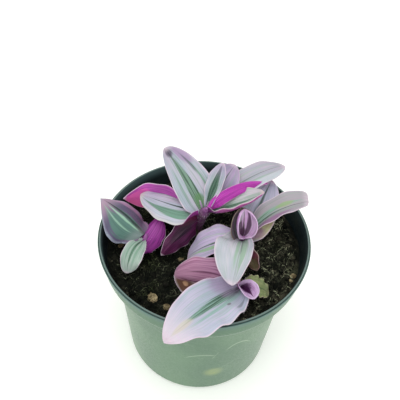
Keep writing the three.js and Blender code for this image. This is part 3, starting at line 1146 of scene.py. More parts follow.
@dataclass
class Leaf:
    """A blade, which lies as its angles say. Its left and right are seen from the stem along it.

    It springs from the stem at the height that "at" gives. Heading and sway turn it about an upright
    line, rise and droop turn it up and down, and roll turns it about itself. The droop gathers at the tip
    as late grows. Fold and cup bend both halves up, and flatten takes that away towards the tip. Left and
    right bend one half more, and skew widens the left one. A greater grow gives a slimmer foot and a
    smaller blunt a blunter tip. Wave is the height of the margins' waves, waves is their number, and calm
    stills those of the right margin.
    """

    at: float
    heading: float
    rise: float
    droop: float
    length: float
    width: float
    paint: LeafPaint
    sway: float = 0.0
    late: float = 1.0
    roll: float = 0.0
    fold: float = 12.0
    cup: float = 10.0
    left: float = 0.0
    right: float = 0.0
    flatten: float = 0.5
    wave: float = 0.6
    waves: float = 3.0
    calm: float = 0.0
    skew: float = 0.0
    grow: float = 0.5
    blunt: float = 0.65
    rows: int = 52
    half_columns: int = 12

    START = 1.6
    BASE_OFFSET = 0.03
    CLASP_LENGTH = 0.14
    CLASP_ANGLE = 80.0
    RIPPLE_LAG = 2.0
    RIPPLE_FADE = 4.0
    THICKNESS = 0.62
    MARGIN_THICKNESS = 0.34
    MARGIN_REACH = 0.35
    MARGIN_FACE = 0.75
    KEEL = 0.45
    GROOVE = 0.2
    RIB_WIDTH = 0.055
    TIP_WIDTH = 0.3
    ARC_STEPS = 24
    MIDRIB_STEPS = 480
    UNEVEN = 0.22
    SWELLS = ((1.0, 7.3, 2.1, 1.0), (0.6, 11.9, -4.3, 1.7))
    HAIRS = 14
    HAIRS_FROM = 0.03
    HAIRS_TO = 0.26

    def axes(self, along: Array) -> tuple[Array, Array, Array]:
        """Give the blade's directions at places along it.

        Args:
            along: The places, 0 at the stem and 1 at the tip.

        Returns:
            The direction of growth, the blade's left and its upper side.
        """
        slope = np.radians(self.rise - self.droop * along**self.late)
        heading = np.radians(self.heading + self.sway * along)
        roll = math.radians(self.roll)
        level = np.stack([-np.sin(heading), np.cos(heading), 0 * heading], -1)
        flat = np.stack([np.cos(heading), np.sin(heading), 0 * heading], -1)
        growth = np.cos(slope)[:, None] * flat + np.sin(slope)[:, None] * np.array([0.0, 0.0, 1.0])
        upward = np.cross(growth, level)
        left = math.cos(roll) * level + math.sin(roll) * upward
        top = math.cos(roll) * upward - math.sin(roll) * level
        return growth, left, top

    def outline(self, along: Array) -> Array:
        """Give how wide the blade is at places along it.

        Args:
            along: The places, 0 at the stem and 1 at the tip.

        Returns:
            The shares of its greatest width.
        """
        peak = (self.grow - self.blunt * self.BASE_OFFSET) / (self.grow + self.blunt)
        highest = (peak + self.BASE_OFFSET) ** self.grow * (1 - peak) ** self.blunt
        return (along + self.BASE_OFFSET) ** self.grow * (1 - along) ** self.blunt / highest

    def midrib(self, foot: Array, along: Array) -> Array:
        """Follow the midrib from its foot.

        Args:
            foot: Where the blade springs from the stem.
            along: The places that are asked for.

        Returns:
            A point for each place.
        """
        middles = (np.arange(self.MIDRIB_STEPS) + 0.5) / self.MIDRIB_STEPS
        steps = self.axes(middles)[0] * self.length / self.MIDRIB_STEPS
        path = foot + np.vstack([np.zeros(3), np.cumsum(steps, 0)])
        ends = np.linspace(0, 1, self.MIDRIB_STEPS + 1)
        return np.stack([np.interp(along, ends, path[:, axis]) for axis in range(3)], -1)

    def section(self, along: Array, share: float, side: int) -> tuple[Array, Array]:
        """Give how far a half reaches sideways and upwards.

        Args:
            along: Places along the blade.
            share: The share of the way out to the margin.
            side: 1 for the left half and -1 for the right.

        Returns:
            The reach sideways and upwards, as shares of the half-width.
        """
        outward = share * (np.arange(self.ARC_STEPS) + 0.5) / self.ARC_STEPS
        keep = (1 - self.flatten * along)[:, None]
        extra = self.left if side > 0 else self.right
        clasp = self.CLASP_ANGLE * np.maximum(0, 1 - along / self.CLASP_LENGTH)[:, None]
        curl = extra * outward**2 + clasp * outward
        angle = np.radians((self.fold + self.cup * outward) * keep + curl)
        return np.cos(angle).mean(1) * share, np.sin(angle).mean(1) * share

    def middle_sheet(self, foot: Array, along: Array, shares: Array) -> Array:
        """Lay out the blade's middle sheet.

        Args:
            foot: Where the blade springs from the stem.
            along: Places along the blade.
            shares: Places across it, from -1 at the right margin to 1 at the left.

        Returns:
            Points by row and column.
        """
        centre = self.midrib(foot, along)
        _, left, top = self.axes(along)
        widest = np.maximum(self.width / 2 * self.outline(along), self.TIP_WIDTH / 2)
        fade = np.minimum(1, self.RIPPLE_FADE * (1 - along))
        sheet = np.zeros((len(along), len(shares), 3))
        for column, place in enumerate(shares):
            side = int(np.sign(place))
            share = abs(place)
            half = widest * (1 + side * self.skew)
            across, lift = self.section(along, share, side)
            phase = 2 * math.pi * self.waves * along + (0.0 if side > 0 else self.RIPPLE_LAG)
            ripple = self.wave * (1 - self.calm * (side < 0))
            rise = half * lift + ripple * share**3 * np.sin(phase) * fade
            rise += self.uneven(along, place) * fade
            sheet[:, column] = centre + side * (half * across)[:, None] * left + rise[:, None] * top
        return sheet

    def uneven(self, along: Array, place: float) -> Array:
        """Give the soft unevenness of the blade's surface.

        Args:
            along: Places along the blade.
            place: The place across it.

        Returns:
            How far the surface stands off at each place.
        """
        swell = np.zeros(len(along))
        for size, lengthways, sideways, shift in self.SWELLS:
            swell += size * np.sin(lengthways * along + sideways * place + shift * self.paint.seed)
        return self.UNEVEN * swell * abs(place) ** 0.5

    def hair_roots(self, foot: Array) -> tuple[Array, Array]:
        """Give where the hairs of both margins stand, near the blade's foot.

        Args:
            foot: Where the blade springs from the stem.

        Returns:
            The roots, and the way that each hair points.
        """
        along = np.linspace(self.HAIRS_FROM, self.HAIRS_TO, self.HAIRS)
        sheet = self.middle_sheet(foot, along, np.array([-1.0, -0.9, 0.9, 1.0]))
        outward = unit(np.vstack([sheet[:, 0] - sheet[:, 1], sheet[:, 3] - sheet[:, 2]]))
        return np.vstack([sheet[:, 0], sheet[:, 3]]), outward

    @staticmethod
    def normals(sheet: Array) -> Array:
        """Give the upper side's normals of a sheet of points."""
        return unit(np.cross(np.gradient(sheet, axis=0), np.gradient(sheet, axis=1)))

    def blade(self, foot: Array) -> MeshDraft:
        """Build the blade with a groove over its midrib, a keel under it and a thin round margin.

        Args:
            foot: Where the blade springs from the stem.

        Returns:
            The blade's closed mesh.
        """
        even = np.linspace(0, 1, self.rows + 1)
        along = (even + np.sin(even * math.pi / 2)) / 2
        shares = np.linspace(-1, 1, 2 * self.half_columns + 1)
        sheet = self.middle_sheet(foot, along, shares)
        normals = self.normals(sheet)
        rows, columns = sheet.shape[:2]
        grow, out = np.meshgrid(along, shares, indexing="ij")
        body = self.MARGIN_THICKNESS + (self.THICKNESS - self.MARGIN_THICKNESS) * (1 - np.abs(out) ** 3)
        rib = np.exp(-((out / self.RIB_WIDTH) ** 2)) * (1 - grow) ** 0.6
        above = body / 2 - self.GROOVE * rib
        below = body / 2 + self.KEEL * rib
        draft = MeshDraft()
        for face, offset in ((1.0, above), (0.0, -below)):
            place = np.stack([grow.ravel(), out.ravel(), np.full(rows * columns, face)], -1)
            points = (sheet + normals * offset[..., None]).reshape(-1, 3)
            draft.add(points, grid_faces(rows, columns, flip=face == 1.0), leaf_place=place)
        self.add_margin(draft, sheet, grow, out, body)
        return draft

    def add_margin(
        self, draft: MeshDraft, sheet: Array, grow: Array, out: Array, body: Array
    ) -> None:
        """Close the blade with a ring of points that stands out from the margin.

        Args:
            draft: The blade's two faces.
            sheet: Its middle sheet.
            grow: Place along the blade for each point.
            out: Place across it.
            body: Its thickness.
        """
        rows, columns = sheet.shape[:2]
        border = [(0, column) for column in range(columns - 1)]
        border += [(row, columns - 1) for row in range(rows - 1)]
        border += [(rows - 1, column) for column in range(columns - 1, 0, -1)]
        border += [(row, 0) for row in range(rows - 1, 0, -1)]
        ring, marks = [], []
        for row, column in border:
            inner = sheet[min(max(row, 1), rows - 2), min(max(column, 1), columns - 2)]
            outward = unit(sheet[row, column] - inner)
            ring.append(sheet[row, column] + outward * body[row, column] * self.MARGIN_REACH)
            marks.append((grow[row, column], out[row, column], self.MARGIN_FACE))
        first = rows * columns
        start = 2 * first
        faces = []
        for index, (row, column) in enumerate(border):
            after = (index + 1) % len(border)
            here = row * columns + column
            there = border[after][0] * columns + border[after][1]
            faces.append([here, there, start + after, start + index])
            faces.append([start + index, start + after, first + there, first + here])
        draft.points.append(np.array(ring))
        draft.marks["leaf_place"].append(np.array(marks))
        draft.faces.extend(face[::-1] for face in faces)
        draft.count += len(ring)


@dataclass
class StemLine:
    """A stem's line from its foot in the soil to its growing point, through a few points."""

    points: list[list[float]]
    samples: int = 60

    def curve(self) -> Array:
        """Sample the centripetal curve through the points.

        Returns:
            The samples.
        """
        given = np.array(self.points, float)
        padded = np.vstack([2 * given[0] - given[1], given, 2 * given[-1] - given[-2]])
        path = [self.stretch(*padded[index : index + 4]) for index in range(len(given) - 1)]
        return np.vstack([*path, given[-1:]])

    def stretch(
        self, before: Array, start: Array, end: Array, after: Array
    ) -> Array:
        """Sample the curve between two points, without its last one.

        Args:
            before: The point before the stretch.
            start: Its first point.
            end: Its last point.
            after: The point after it.

        Returns:
            The samples.
        """
        pairs = ((before, start), (start, end), (end, after))
        first, middle, last = (np.linalg.norm(there - here) ** 0.5 for here, there in pairs)
        leave = (start - before) / first - (end - before) / (first + middle) + (end - start) / middle
        reach = (end - start) / middle - (after - start) / (middle + last) + (after - end) / last
        leave, reach = leave * middle, reach * middle
        t = np.linspace(0, 1, self.samples, endpoint=False)[:, None]
        square = (-3 * start + 3 * end - 2 * leave - reach) * t**2
        cube = (2 * start - 2 * end + leave + reach) * t**3
        return start + leave * t + square + cube

    def at_height(self, height: float) -> Array:
        """Give the stem's point at a height."""
        path = self.curve()
        return np.array([np.interp(height, path[:, 2], path[:, axis]) for axis in range(3)])


@dataclass
class Shoot:
    """A leafy stem that stands in the soil."""

    node: str
    line: StemLine
    leaves: list[Leaf]
    radius: float = 2.4
    sheath_radius: float = 3.0
    sheath_length: float = 6.0
    sides: int = 20
    tip_length: float = 8.0
    sheath_hairs: int = 16
    hair_length: float = 0.9
    hair_radius: float = 0.05
    hair_colour: Colour = tint(214, 206, 218)

    TIP_SHARE = 0.25
    SHEATH_FOOT = 0.4
    STREAKS_ROUND = 3.0
    STREAKS_ALONG = 0.12
    HAIR_STRAY = 0.35

    def build(self) -> None:
        """Build the stem, and then each leaf from the top down."""
        stem = self.stem().piece(f"{self.node}_stem", StemFinish("stem_flesh").material())
        settle(stem, Slot.LEAF, self.node)
        for number, leaf in enumerate(self.leaves, 1):
            draft = leaf.blade(self.foot(leaf))
            piece = draft.piece(f"{self.node}_leaf_{number:02d}", leaf.paint.material())
            settle(piece, Slot.LEAF, self.node)
        hair = PlainFinish("fine_hair", colour=self.hair_colour, glow=0.0)
        settle(self.hairs().piece(f"{self.node}_hairs", hair.material()), Slot.LEAF)

    def hairs(self) -> MeshDraft:
        """Set fine hairs on the feet of the blades and round the mouths of the sheaths.

        Returns:
            The hairs' mesh.
        """
        draw = np.random.default_rng(len(self.leaves))
        draft = MeshDraft()
        for leaf in self.leaves:
            roots, outward = leaf.hair_roots(self.foot(leaf))
            turn = np.linspace(0, 2 * math.pi, self.sheath_hairs, endpoint=False) + draw.random()
            ring = np.stack([np.cos(turn), np.sin(turn), 0.3 + 0 * turn], -1)
            mouth = self.line.at_height(leaf.at - 1.0) + ring * [self.sheath_radius, self.sheath_radius, 0]
            for root, way in zip(np.vstack([roots, mouth]), np.vstack([outward, ring]), strict=True):
                way = unit(way + self.HAIR_STRAY * draw.normal(size=3))
                side = unit(np.cross(way, [0.3, 0.5, 0.8])) * self.hair_radius
                other = np.cross(way, side)
                tip = root + way * self.hair_length * between(draw, 0.6, 1.2)
                cone = np.array([root + side, root - 0.5 * side + other, root - 0.5 * side - other, tip])
                draft.add(cone, [[0, 1, 3], [1, 2, 3], [2, 0, 3], [2, 1, 0]])
        return draft

    def foot(self, leaf: Leaf) -> Array:
        """Give where a leaf springs from the stem, inside its skin.

        Args:
            leaf: The leaf.

        Returns:
            The point.
        """
        heading = math.radians(leaf.heading)
        outward = np.array([math.cos(heading), math.sin(heading), 0.0])
        return self.line.at_height(leaf.at) + Leaf.START * outward

    def radius_at(self, height: float) -> Pair:
        """Give the stem's radius at a height, and how far it is a sheath there.

        Args:
            height: Height over the pot's foot.

        Returns:
            The radius and the share.
        """
        top = self.line.points[-1][2]
        radius = self.radius
        sheathed = 0.0
        for leaf in self.leaves:
            below = leaf.at - height
            if 0 <= below <= self.sheath_length:
                flare = self.SHEATH_FOOT + (1 - self.SHEATH_FOOT) * (1 - below / self.sheath_length)
                radius = max(radius, self.radius + (self.sheath_radius - self.radius) * flare)
                sheathed = 1.0
        thinner = self.TIP_SHARE + (1 - self.TIP_SHARE) * (top - height) / self.tip_length
        return radius * min(1.0, thinner), sheathed

    def stem(self) -> MeshDraft:
        """Build the stem as a closed tube that widens at each leaf's sheath.

        Returns:
            The stem's mesh.
        """
        path = self.line.curve()
        radii, sheathed = np.array([self.radius_at(point[2]) for point in path]).T
        points, faces = tube(path, radii, self.sides, [0.0, 1.0, 0.0])
        height = np.repeat(path[:, 2], self.sides)
        around = np.tile(np.linspace(0, 2 * math.pi, self.sides, endpoint=False), len(path))
        wide = self.STREAKS_ROUND
        place = np.stack([np.cos(around) * wide, np.sin(around) * wide, height * self.STREAKS_ALONG], -1)
        sheath = np.repeat(sheathed, self.sides)
        tip = np.clip((height - path[-1, 2] + self.tip_length) / self.tip_length, 0, 1)
        draft = MeshDraft()
        draft.add(points, faces, stem_place=place, stem_sheath=sheath, stem_tip=tip)
        return draft


# The pot and its soil


@dataclass
class Pot:
    """The nursery pot: a tapered wall with a round foot, a collar, and a thin lip inside a groove."""

    height: float = 104.0
    rim_radius: float = 60.0
    collar_height: float = 15.0
    collar_foot_radius: float = 57.5
    wall_top_radius: float = 52.0
    foot_radius: float = 47.0
    foot_corner: float = 4.0
    wall: float = 1.4
    lip_wall: float = 0.8
    lip_step: float = 0.9
    lip_side: float = 0.7
    lip_round: float = 0.35
    lip_inner_round: float = 0.25
    lip_shoulder: Pair = (0.3, 1.0)
    groove_depth: float = 0.5
    groove_width: float = 0.35
    ledge_inset: float = 0.05
    ledge_round: float = 0.3
    step_round: float = 0.8
    collar_round: float = 0.7
    floor: float = 1.8
    floor_round: float = 3.0
    drain_count: int = 8
    drain_radius: float = 4.0
    drain_circle: float = 30.0
    sides: int = 180
    ring_heights: tuple[float, ...] = (91.6, 93.0)
    ring_depth: float = 0.14
    ring_half: float = 0.45

    FLAT_SHARE = 0.6
    FLOOR_SHARE = 0.5

    @property
    def collar_foot(self) -> float:
        """Height of the collar's lower edge."""
        return self.height - self.collar_height

    @property
    def ledge(self) -> float:
        """Height of the collar's top edge, outside the groove round the lip."""
        return self.height - self.lip_side

    @property
    def collar_top_radius(self) -> float:
        """Radius of the collar's outside under its top edge."""
        return self.rim_radius - self.ledge_inset

    def wall_radius(self, height: float) -> float:
        """Radius of the outer wall under the collar, at a height."""
        return self.foot_radius + (self.wall_top_radius - self.foot_radius) * height / self.collar_foot

    def collar_radius(self, height: float) -> float:
        """Radius of the collar's outside at a height."""
        share = (height - self.collar_foot) / (self.ledge - self.ledge_round - self.collar_foot)
        return self.collar_foot_radius + (self.collar_top_radius - self.collar_foot_radius) * share

    def outside(self) -> Profile:
        """Give the outer profile, from the middle of the foot up to the lip.

        Returns:
            The profile's points.
        """
        corner = self.foot_corner
        foot = (self.wall_radius(corner) - corner, corner)
        profile = [(0.0, 0.0), (foot[0] * self.FLAT_SHARE, 0.0), *rounded(foot, corner, -90, 3, 7)]
        for share in (0.25, 0.5, 0.75):
            height = corner + (self.collar_foot - corner) * share
            profile.append((self.wall_radius(height), height))
        step, size = self.collar_foot, self.step_round
        profile += rounded((self.wall_top_radius + size, step - size), size, 180, 90, 3)
        size = self.collar_round
        profile += rounded((self.collar_foot_radius - size, step + size), size, -90, 0, 3)
        for middle in self.ring_heights:
            for offset, depth in ((-self.ring_half, 0.0), (0.0, self.ring_depth), (self.ring_half, 0.0)):
                profile.append((self.collar_radius(middle + offset) + depth, middle + offset))
        size = self.ledge_round
        profile += rounded((self.collar_top_radius - size, self.ledge - size), size, 0, 90, 3)
        lip = self.rim_radius - self.lip_step
        profile.append((lip + self.groove_width, self.ledge - self.groove_depth))
        profile.append((lip, self.ledge - self.groove_depth))
        size = self.lip_round
        profile += rounded((lip - size, self.height - size), size, 0, 90, 4)
        return profile

    def inside(self) -> Profile:
        """Give the inner profile, from the lip down to the middle of the floor.

        Returns:
            The profile's points.
        """
        inner = self.rim_radius - self.lip_step - self.lip_wall
        step = self.collar_foot + self.wall
        corner = self.wall_radius(self.floor) - self.wall
        size, bend = self.lip_inner_round, self.floor_round
        inward, down = self.lip_shoulder
        return [
            *rounded((inner + size, self.height - size), size, 90, 180, 3),
            (inner - inward, self.ledge - down),
            (self.collar_foot_radius - self.wall, step),
            (self.wall_radius(self.collar_foot) - self.wall, step),
            *rounded((corner - bend, self.floor + bend), bend, 0, -90, 4),
            (corner * self.FLOOR_SHARE, self.floor),
            (0.0, self.floor),
        ]

    def build(self) -> None:
        """Turn the wall, cut the drain holes and dress it."""
        outside, inside = self.outside(), self.inside()
        points, faces = turned(outside + inside, self.sides)
        draft = MeshDraft()
        draft.add(points, faces)
        piece = draft.piece("nursery_pot", PotFinish("sage_plastic").material(), sharp=35.0)
        piece.data.materials.append(PotInsideFinish("pot_inside").material())
        # Every point from the foot of the lip's inner round on is inside.
        inner = (len(outside) + 2) * self.sides
        middle = len(points) - 1
        for face in piece.data.polygons:
            if all(inner <= corner < middle - 1 or corner == middle for corner in face.vertices):
                face.material_index = 1
        self.cut_drains(piece)
        settle(piece, Slot.POT, "pot")

    def cut_drains(self, piece: bpy.types.Object) -> None:
        """Cut the drain holes through the floor.

        Args:
            piece: The pot.
        """
        cutter = bmesh.new()
        for index in range(self.drain_count):
            angle = 2 * math.pi * (index + 0.5) / self.drain_count
            spot = Vector((math.cos(angle), math.sin(angle), 0.0)) * self.drain_circle
            bmesh.ops.create_cone(
                cutter,
                cap_ends=True,
                segments=32,
                radius1=self.drain_radius * MM,
                radius2=self.drain_radius * MM,
                depth=6 * self.floor * MM,
                matrix=Matrix.Translation(spot * MM),
            )
        mesh = bpy.data.meshes.new("drain_cutter")
        cutter.to_mesh(mesh)
        cutter.free()
        tool = bpy.data.objects.new("drain_cutter", mesh)
        bpy.context.scene.collection.objects.link(tool)
        cut = piece.modifiers.new("drains", "BOOLEAN")
        cut.object = tool
        cut.operation = "DIFFERENCE"
        cut.solver = "EXACT"
        view = bpy.context.evaluated_depsgraph_get()
        done = bpy.data.meshes.new_from_object(piece.evaluated_get(view))
        piece.modifiers.clear()
        piece.data = done
        bpy.data.objects.remove(tool)


@dataclass
class Soil:
    """The peat in the pot, with an uneven top, and what lies loose on it."""

    pot: Pot
    top: float = 92.0
    fit: float = 0.3
    chamfer: Pair = (3.0, 1.0)
    waves: tuple[tuple[float, float, float, float], ...] = (
        (0.5, 0.13, -0.11, 1.5),
        (0.4, 0.02, 0.24, 0.6),
        (0.3, 0.41, -0.33, 0.0),
        (0.25, 0.12, 0.52, 0.8),
    )
    relief: tuple[Triple, ...] = ((5.5, 3.0, 0.7), (2.4, 9.0, 0.5), (1.1, 21.0, 0.45))
    lump: float = 1.9
    sunk: float = 0.8
    calm_edge: float = 4.0
    rings: int = 78
    sides: int = 220
    crumbs: int = 4200
    lumps: int = 260
    fibres: int = 6500
    roots: int = 130
    seed: int = 11
    chip_places: tuple[Triple, ...] = (
        (-26.1, -37.8, 3.0), (-17.7, -42.7, 2.0), (-16.2, -45.6, 1.3), (50.8, -17.7, 1.6),
        (49.2, -21.0, 1.0), (-12.6, -10.5, 2.0), (-48.0, -4.0, 1.4), (-45.0, -12.0, 1.1),
        (12.0, 44.0, 1.8), (-22.0, 38.0, 1.5),
    )

    FLAT_SHARE = 0.6
    RING_CROWDING = 0.8
    BODY_TONE = 0.2
    LEAST_TONE = 0.04
    TONE_SPAN = 0.5
    TONE_PATCH = 1.2
    TONE_LAYER = 40.0
    TURN = 6.3
    FINE_BIAS = 2.2
    DARK_BIAS = 4.0
    GRAIN_ROUGH = 0.22
    GRAIN_LIFT = 0.25
    STRAND_CLEAR = 2.5
    STRAND_BEND = 0.14
    STRAND_SWERVE = 1.2
    STRAND_TAPER = 0.7
    CHIP_COUNTS = (1.6, 4.5)
    CHIP_SWELL = 0.3
    CHIP_GRAIN = 0.22
    CHIP_SHAPE = (1.1, 0.85, 0.55)
    CHIP_LIFT = 0.3

    @property
    def edge(self) -> float:
        """Radius of the soil's top, clear of the pot."""
        return self.pot.collar_foot_radius - self.pot.wall - self.fit

    def height(self, x: float, y: float) -> float:
        """Give the height of the soil's top at a place, with its lumps.

        Args:
            x: Place along X.
            y: Place along Y.

        Returns:
            The height over the pot's foot.
        """
        level = self.top + sum(rise * math.sin(a * x + b * y + start) for rise, a, b, start in self.waves)
        rough = 0.0
        for size, layer, share in self.relief:
            rough += share * noise.noise(Vector((x / size, y / size, layer)))
        inward = min(1.0, (self.edge - math.hypot(x, y)) / self.calm_edge)
        return level - self.sunk + self.lump * rough * (0.4 + 0.6 * max(0.0, inward))

    def body(self) -> MeshDraft:
        """Build the filled body with its lumpy top.

        Returns:
            The body's mesh.
        """
        pot = self.pot
        corner = pot.wall_radius(pot.floor) - pot.wall - self.fit
        step = pot.collar_foot + pot.wall + self.fit
        inward, up = self.chamfer
        side = [
            (0.0, pot.floor + self.fit),
            (corner * self.FLAT_SHARE, pot.floor + self.fit),
            (corner - inward, pot.floor + self.fit),
            (corner - up, pot.floor + up + self.fit),
            (pot.wall_radius(pot.collar_foot) - pot.wall - self.fit, step),
            (self.edge, step),
        ]
        shares = np.linspace(1, 0, self.rings + 1) ** self.RING_CROWDING
        cover = [(self.edge * share, self.top) for share in shares]
        points, faces = turned(side + cover, self.sides)
        tone = np.full(len(points), self.BODY_TONE)
        for index in np.nonzero(points[:, 2] >= self.top - 0.001)[0]:
            x, y, _ = points[index]
            points[index, 2] = self.height(x, y)
            spot = Vector((x / self.TONE_PATCH, y / self.TONE_PATCH, self.TONE_LAYER))
            tone[index] = self.LEAST_TONE + self.TONE_SPAN * max(0.0, noise.noise(spot))
        draft = MeshDraft()
        draft.add(points, faces, tone=tone)
        return draft

    def scatter(self, draw: np.random.Generator, count: int, reach: float) -> Array:
        """Draw even places on the soil.

        Args:
            draw: The seeded generator.
            count: How many places.
            reach: How far from the edge they stay.

        Returns:
            Places as X and Y.
        """
        radius = (self.edge - reach) * np.sqrt(draw.random(count))
        angle = draw.random(count) * 2 * math.pi
        return np.stack([radius * np.cos(angle), radius * np.sin(angle)], -1)

    @staticmethod
    def pebble(subdivisions: int) -> Patch:
        """Build a ball of radius 1.

        Args:
            subdivisions: How fine it is.

        Returns:
            Its points and faces.
        """
        ball = bmesh.new()
        bmesh.ops.create_icosphere(ball, subdivisions=subdivisions, radius=1.0)
        points = np.array([vertex.co for vertex in ball.verts])
        faces = [[vertex.index for vertex in face.verts] for face in ball.faces]
        ball.free()
        return points, faces

    def grains(self, count: int, subdivisions: int, sizes: Pair, seed: int, pale: float = 1.0) -> MeshDraft:
        """Strew crumbs over the soil.

        Args:
            count: How many crumbs.
            subdivisions: How fine each one is.
            sizes: Their least and greatest radius.
            seed: The draw's seed.
            pale: The tone of the palest one.

        Returns:
            The crumbs' mesh.
        """
        draw = np.random.default_rng(seed)
        points, faces = self.pebble(subdivisions)
        draft = MeshDraft()
        for x, y in self.scatter(draw, count, sizes[1] + 0.5):
            size = between(draw, *sizes, self.FINE_BIAS)
            axes = size * (0.6 + 0.6 * draw.random(3))
            turn = np.array(Matrix.Rotation(draw.random() * self.TURN, 3, Vector(draw.normal(size=3))))
            rough = 1 + self.GRAIN_ROUGH * draw.normal(size=(len(points), 1))
            placed = (points * rough * axes) @ turn.T
            placed += np.array([x, y, self.height(x, y) + self.GRAIN_LIFT * size])
            draft.add(placed, faces, tone=np.full(len(points), between(draw, 0.0, pale, self.DARK_BIAS)))
        return draft

    def strands(self, count: int, steps: int, stride: float, thick: float, seed: int) -> MeshDraft:
        """Lay thin fibres of peat and root over the soil.

        Args:
            count: How many fibres.
            steps: How many short lengths each one has.
            stride: The greatest size of such a length.
            thick: The greatest radius.
            seed: The draw's seed.

        Returns:
            The fibres' mesh.
        """
        draw = np.random.default_rng(seed)
        draft = MeshDraft()
        for x, y in self.scatter(draw, count, self.STRAND_CLEAR):
            heading = draw.random() * 2 * math.pi
            bend = draw.normal() * self.STRAND_BEND
            stretch = stride * between(draw, 0.4, 1.0)
            radius = thick * between(draw, 0.3, 1.0, 1.5)
            lift = between(draw, 0.1, 1.2, 3.0)
            path = []
            for step in range(steps + 1):
                arch = lift * math.sin(math.pi * step / steps)
                path.append((x, y, self.height(x, y) + radius + arch))
                x += stretch * math.cos(heading)
                y += stretch * math.sin(heading)
                heading += bend
                if math.hypot(x, y) > self.edge - 1.0:
                    heading += self.STRAND_SWERVE
            taper = radius * (1 - self.STRAND_TAPER * np.linspace(0, 1, steps + 1))
            points, faces = tube(np.array(path), taper, 3, [0.0, 0.0, 1.0])
            tone = between(draw, 0.02, 1.0, self.DARK_BIAS)
            draft.add(points, faces, tone=np.full(len(points), tone))
        return draft

    def build(self) -> None:
        """Build the soil, its crumbs, lumps, fibres, roots and chips of bark."""
        peat = EarthFinish("peat").material()
        settle(self.body().piece("soil_body", peat, sharp=60.0), Slot.SOIL, "soil")
        crumbs = self.grains(self.crumbs, 1, (0.2, 0.85), self.seed)
        settle(crumbs.piece("soil_crumbs", peat, sharp=30.0), Slot.SOIL)
        lumps = self.grains(self.lumps, 2, (0.7, 1.9), self.seed + 1, pale=0.35)
        settle(lumps.piece("soil_lumps", peat, sharp=50.0), Slot.SOIL)
        dark, light = tint(22, 26, 18), tint(196, 204, 166)
        straw = EarthFinish("fibre", dark=dark, light=light, moss=tint(116, 134, 80))
        fibres = self.strands(self.fibres, 4, 0.85, 0.27, self.seed + 5)
        settle(fibres.piece("soil_fibres", straw.material()), Slot.SOIL)
        roots = self.strands(self.roots, 11, 1.0, 0.2, self.seed + 6)
        settle(roots.piece("soil_roots", straw.material()), Slot.SOIL)
        self.chips()

    def chips(self) -> None:
        """Lay the few pale chips of bark where they show."""
        tan, pale = tint(74, 64, 44), tint(190, 176, 136)
        bark = EarthFinish("bark_chip", dark=tan, light=pale, moss=tan, left_shade=0.1, rough=0.8)
        draw = np.random.default_rng(self.seed + 9)
        points, faces = self.pebble(4)
        draft = MeshDraft()
        for x, y, size in self.chip_places:
            shift = Vector((x, y, 0.0))
            broad, small = (
                np.array([noise.noise(count * Vector(point) + shift) for point in points])
                for count in self.CHIP_COUNTS
            )
            rough = (1 + self.CHIP_SWELL * broad + self.CHIP_GRAIN * small)[:, None]
            turn = np.array(Matrix.Rotation(draw.random() * self.TURN, 3, "Z"))
            placed = (points * rough * size * np.array(self.CHIP_SHAPE)) @ turn.T
            placed += np.array([x, y, self.height(x, y) + self.CHIP_LIFT * size])
            draft.add(placed, faces, tone=np.clip(0.65 + 1.3 * small, 0.05, 1.0))
        settle(draft.piece("soil_bark_chips", bark.material(), sharp=30.0), Slot.SOIL)


# The floor, the light and the camera


@dataclass
class Studio:
    """The floor, the lights and the camera."""

    camera_place: Triple = (-3.9, -182.1, 326.2)
    pitch: float = 47.1
    roll: float = 3.6
    lens: float = 45.61
    sensor: float = 36.0
    floor_side: float = 4000.0
    sky_strength: float = 0.85
    lamp_place: Triple = (-100.0, -450.0, 1500.0)
    lamp_target: Triple = (0.0, 0.0, 90.0)
    lamp_side: float = 1000.0
    lamp_watts: float = 10.0

    def build(self) -> None:
        """Set up the floor, the light and the camera."""
        self.floor()
        self.lights()
        self.camera()

    def floor(self) -> None:
        """Lay the plain pale floor."""
        half = self.floor_side / 2
        corners = np.array([[-half, -half, 0.0], [half, -half, 0.0], [half, half, 0.0], [-half, half, 0.0]])
        draft = MeshDraft()
        draft.add(corners, [[0, 1, 2, 3]])
        plane = draft.piece("floor", PlainFinish("floor_white").material())

    def lights(self) -> None:
        """Light the plant evenly from all round, with one wide soft lamp above its front."""
        world = bpy.data.worlds.new("studio")
        bpy.context.scene.world = world
        world.use_nodes = True
        back = world.node_tree.nodes["Background"]
        back.inputs["Color"].default_value = tint(255, 255, 255)
        back.inputs["Strength"].default_value = self.sky_strength
        self.lamp()
        bpy.context.scene.view_settings.view_transform = "Standard"

    def lamp(self) -> None:
        """Hang the square lamp, which points at the plant."""
        data = bpy.data.lights.new("key", "AREA")
        data.shape = "SQUARE"
        data.size = self.lamp_side * MM
        data.energy = self.lamp_watts
        lamp = bpy.data.objects.new("key", data)
        lamp.location = metres(self.lamp_place)
        lamp.rotation_mode = "QUATERNION"
        lamp.rotation_quaternion = (metres(self.lamp_target) - lamp.location).to_track_quat("-Z", "Y")
        bpy.context.scene.collection.objects.link(lamp)

    def camera(self) -> None:
        """Stand the camera where the plant is seen from."""
        pitch, roll = math.radians(self.pitch), math.radians(self.roll)
        back = Vector((0.0, -math.cos(pitch), math.sin(pitch)))
        right = Vector((1.0, 0.0, 0.0))
        up = back.cross(right)
        turned_right = math.cos(roll) * right + math.sin(roll) * up
        turned_up = math.cos(roll) * up - math.sin(roll) * right
        axes = Matrix((turned_right, turned_up, back)).transposed().to_4x4()
        data = bpy.data.cameras.new("camera")
        data.lens = self.lens
        data.sensor_width = self.sensor
        data.clip_start = 0.01
        camera = bpy.data.objects.new("camera", data)
        camera.matrix_world = Matrix.Translation(Vector(self.camera_place) * MM) @ axes
        bpy.context.scene.collection.objects.link(camera)
        bpy.context.scene.camera = camera


# The four shoots


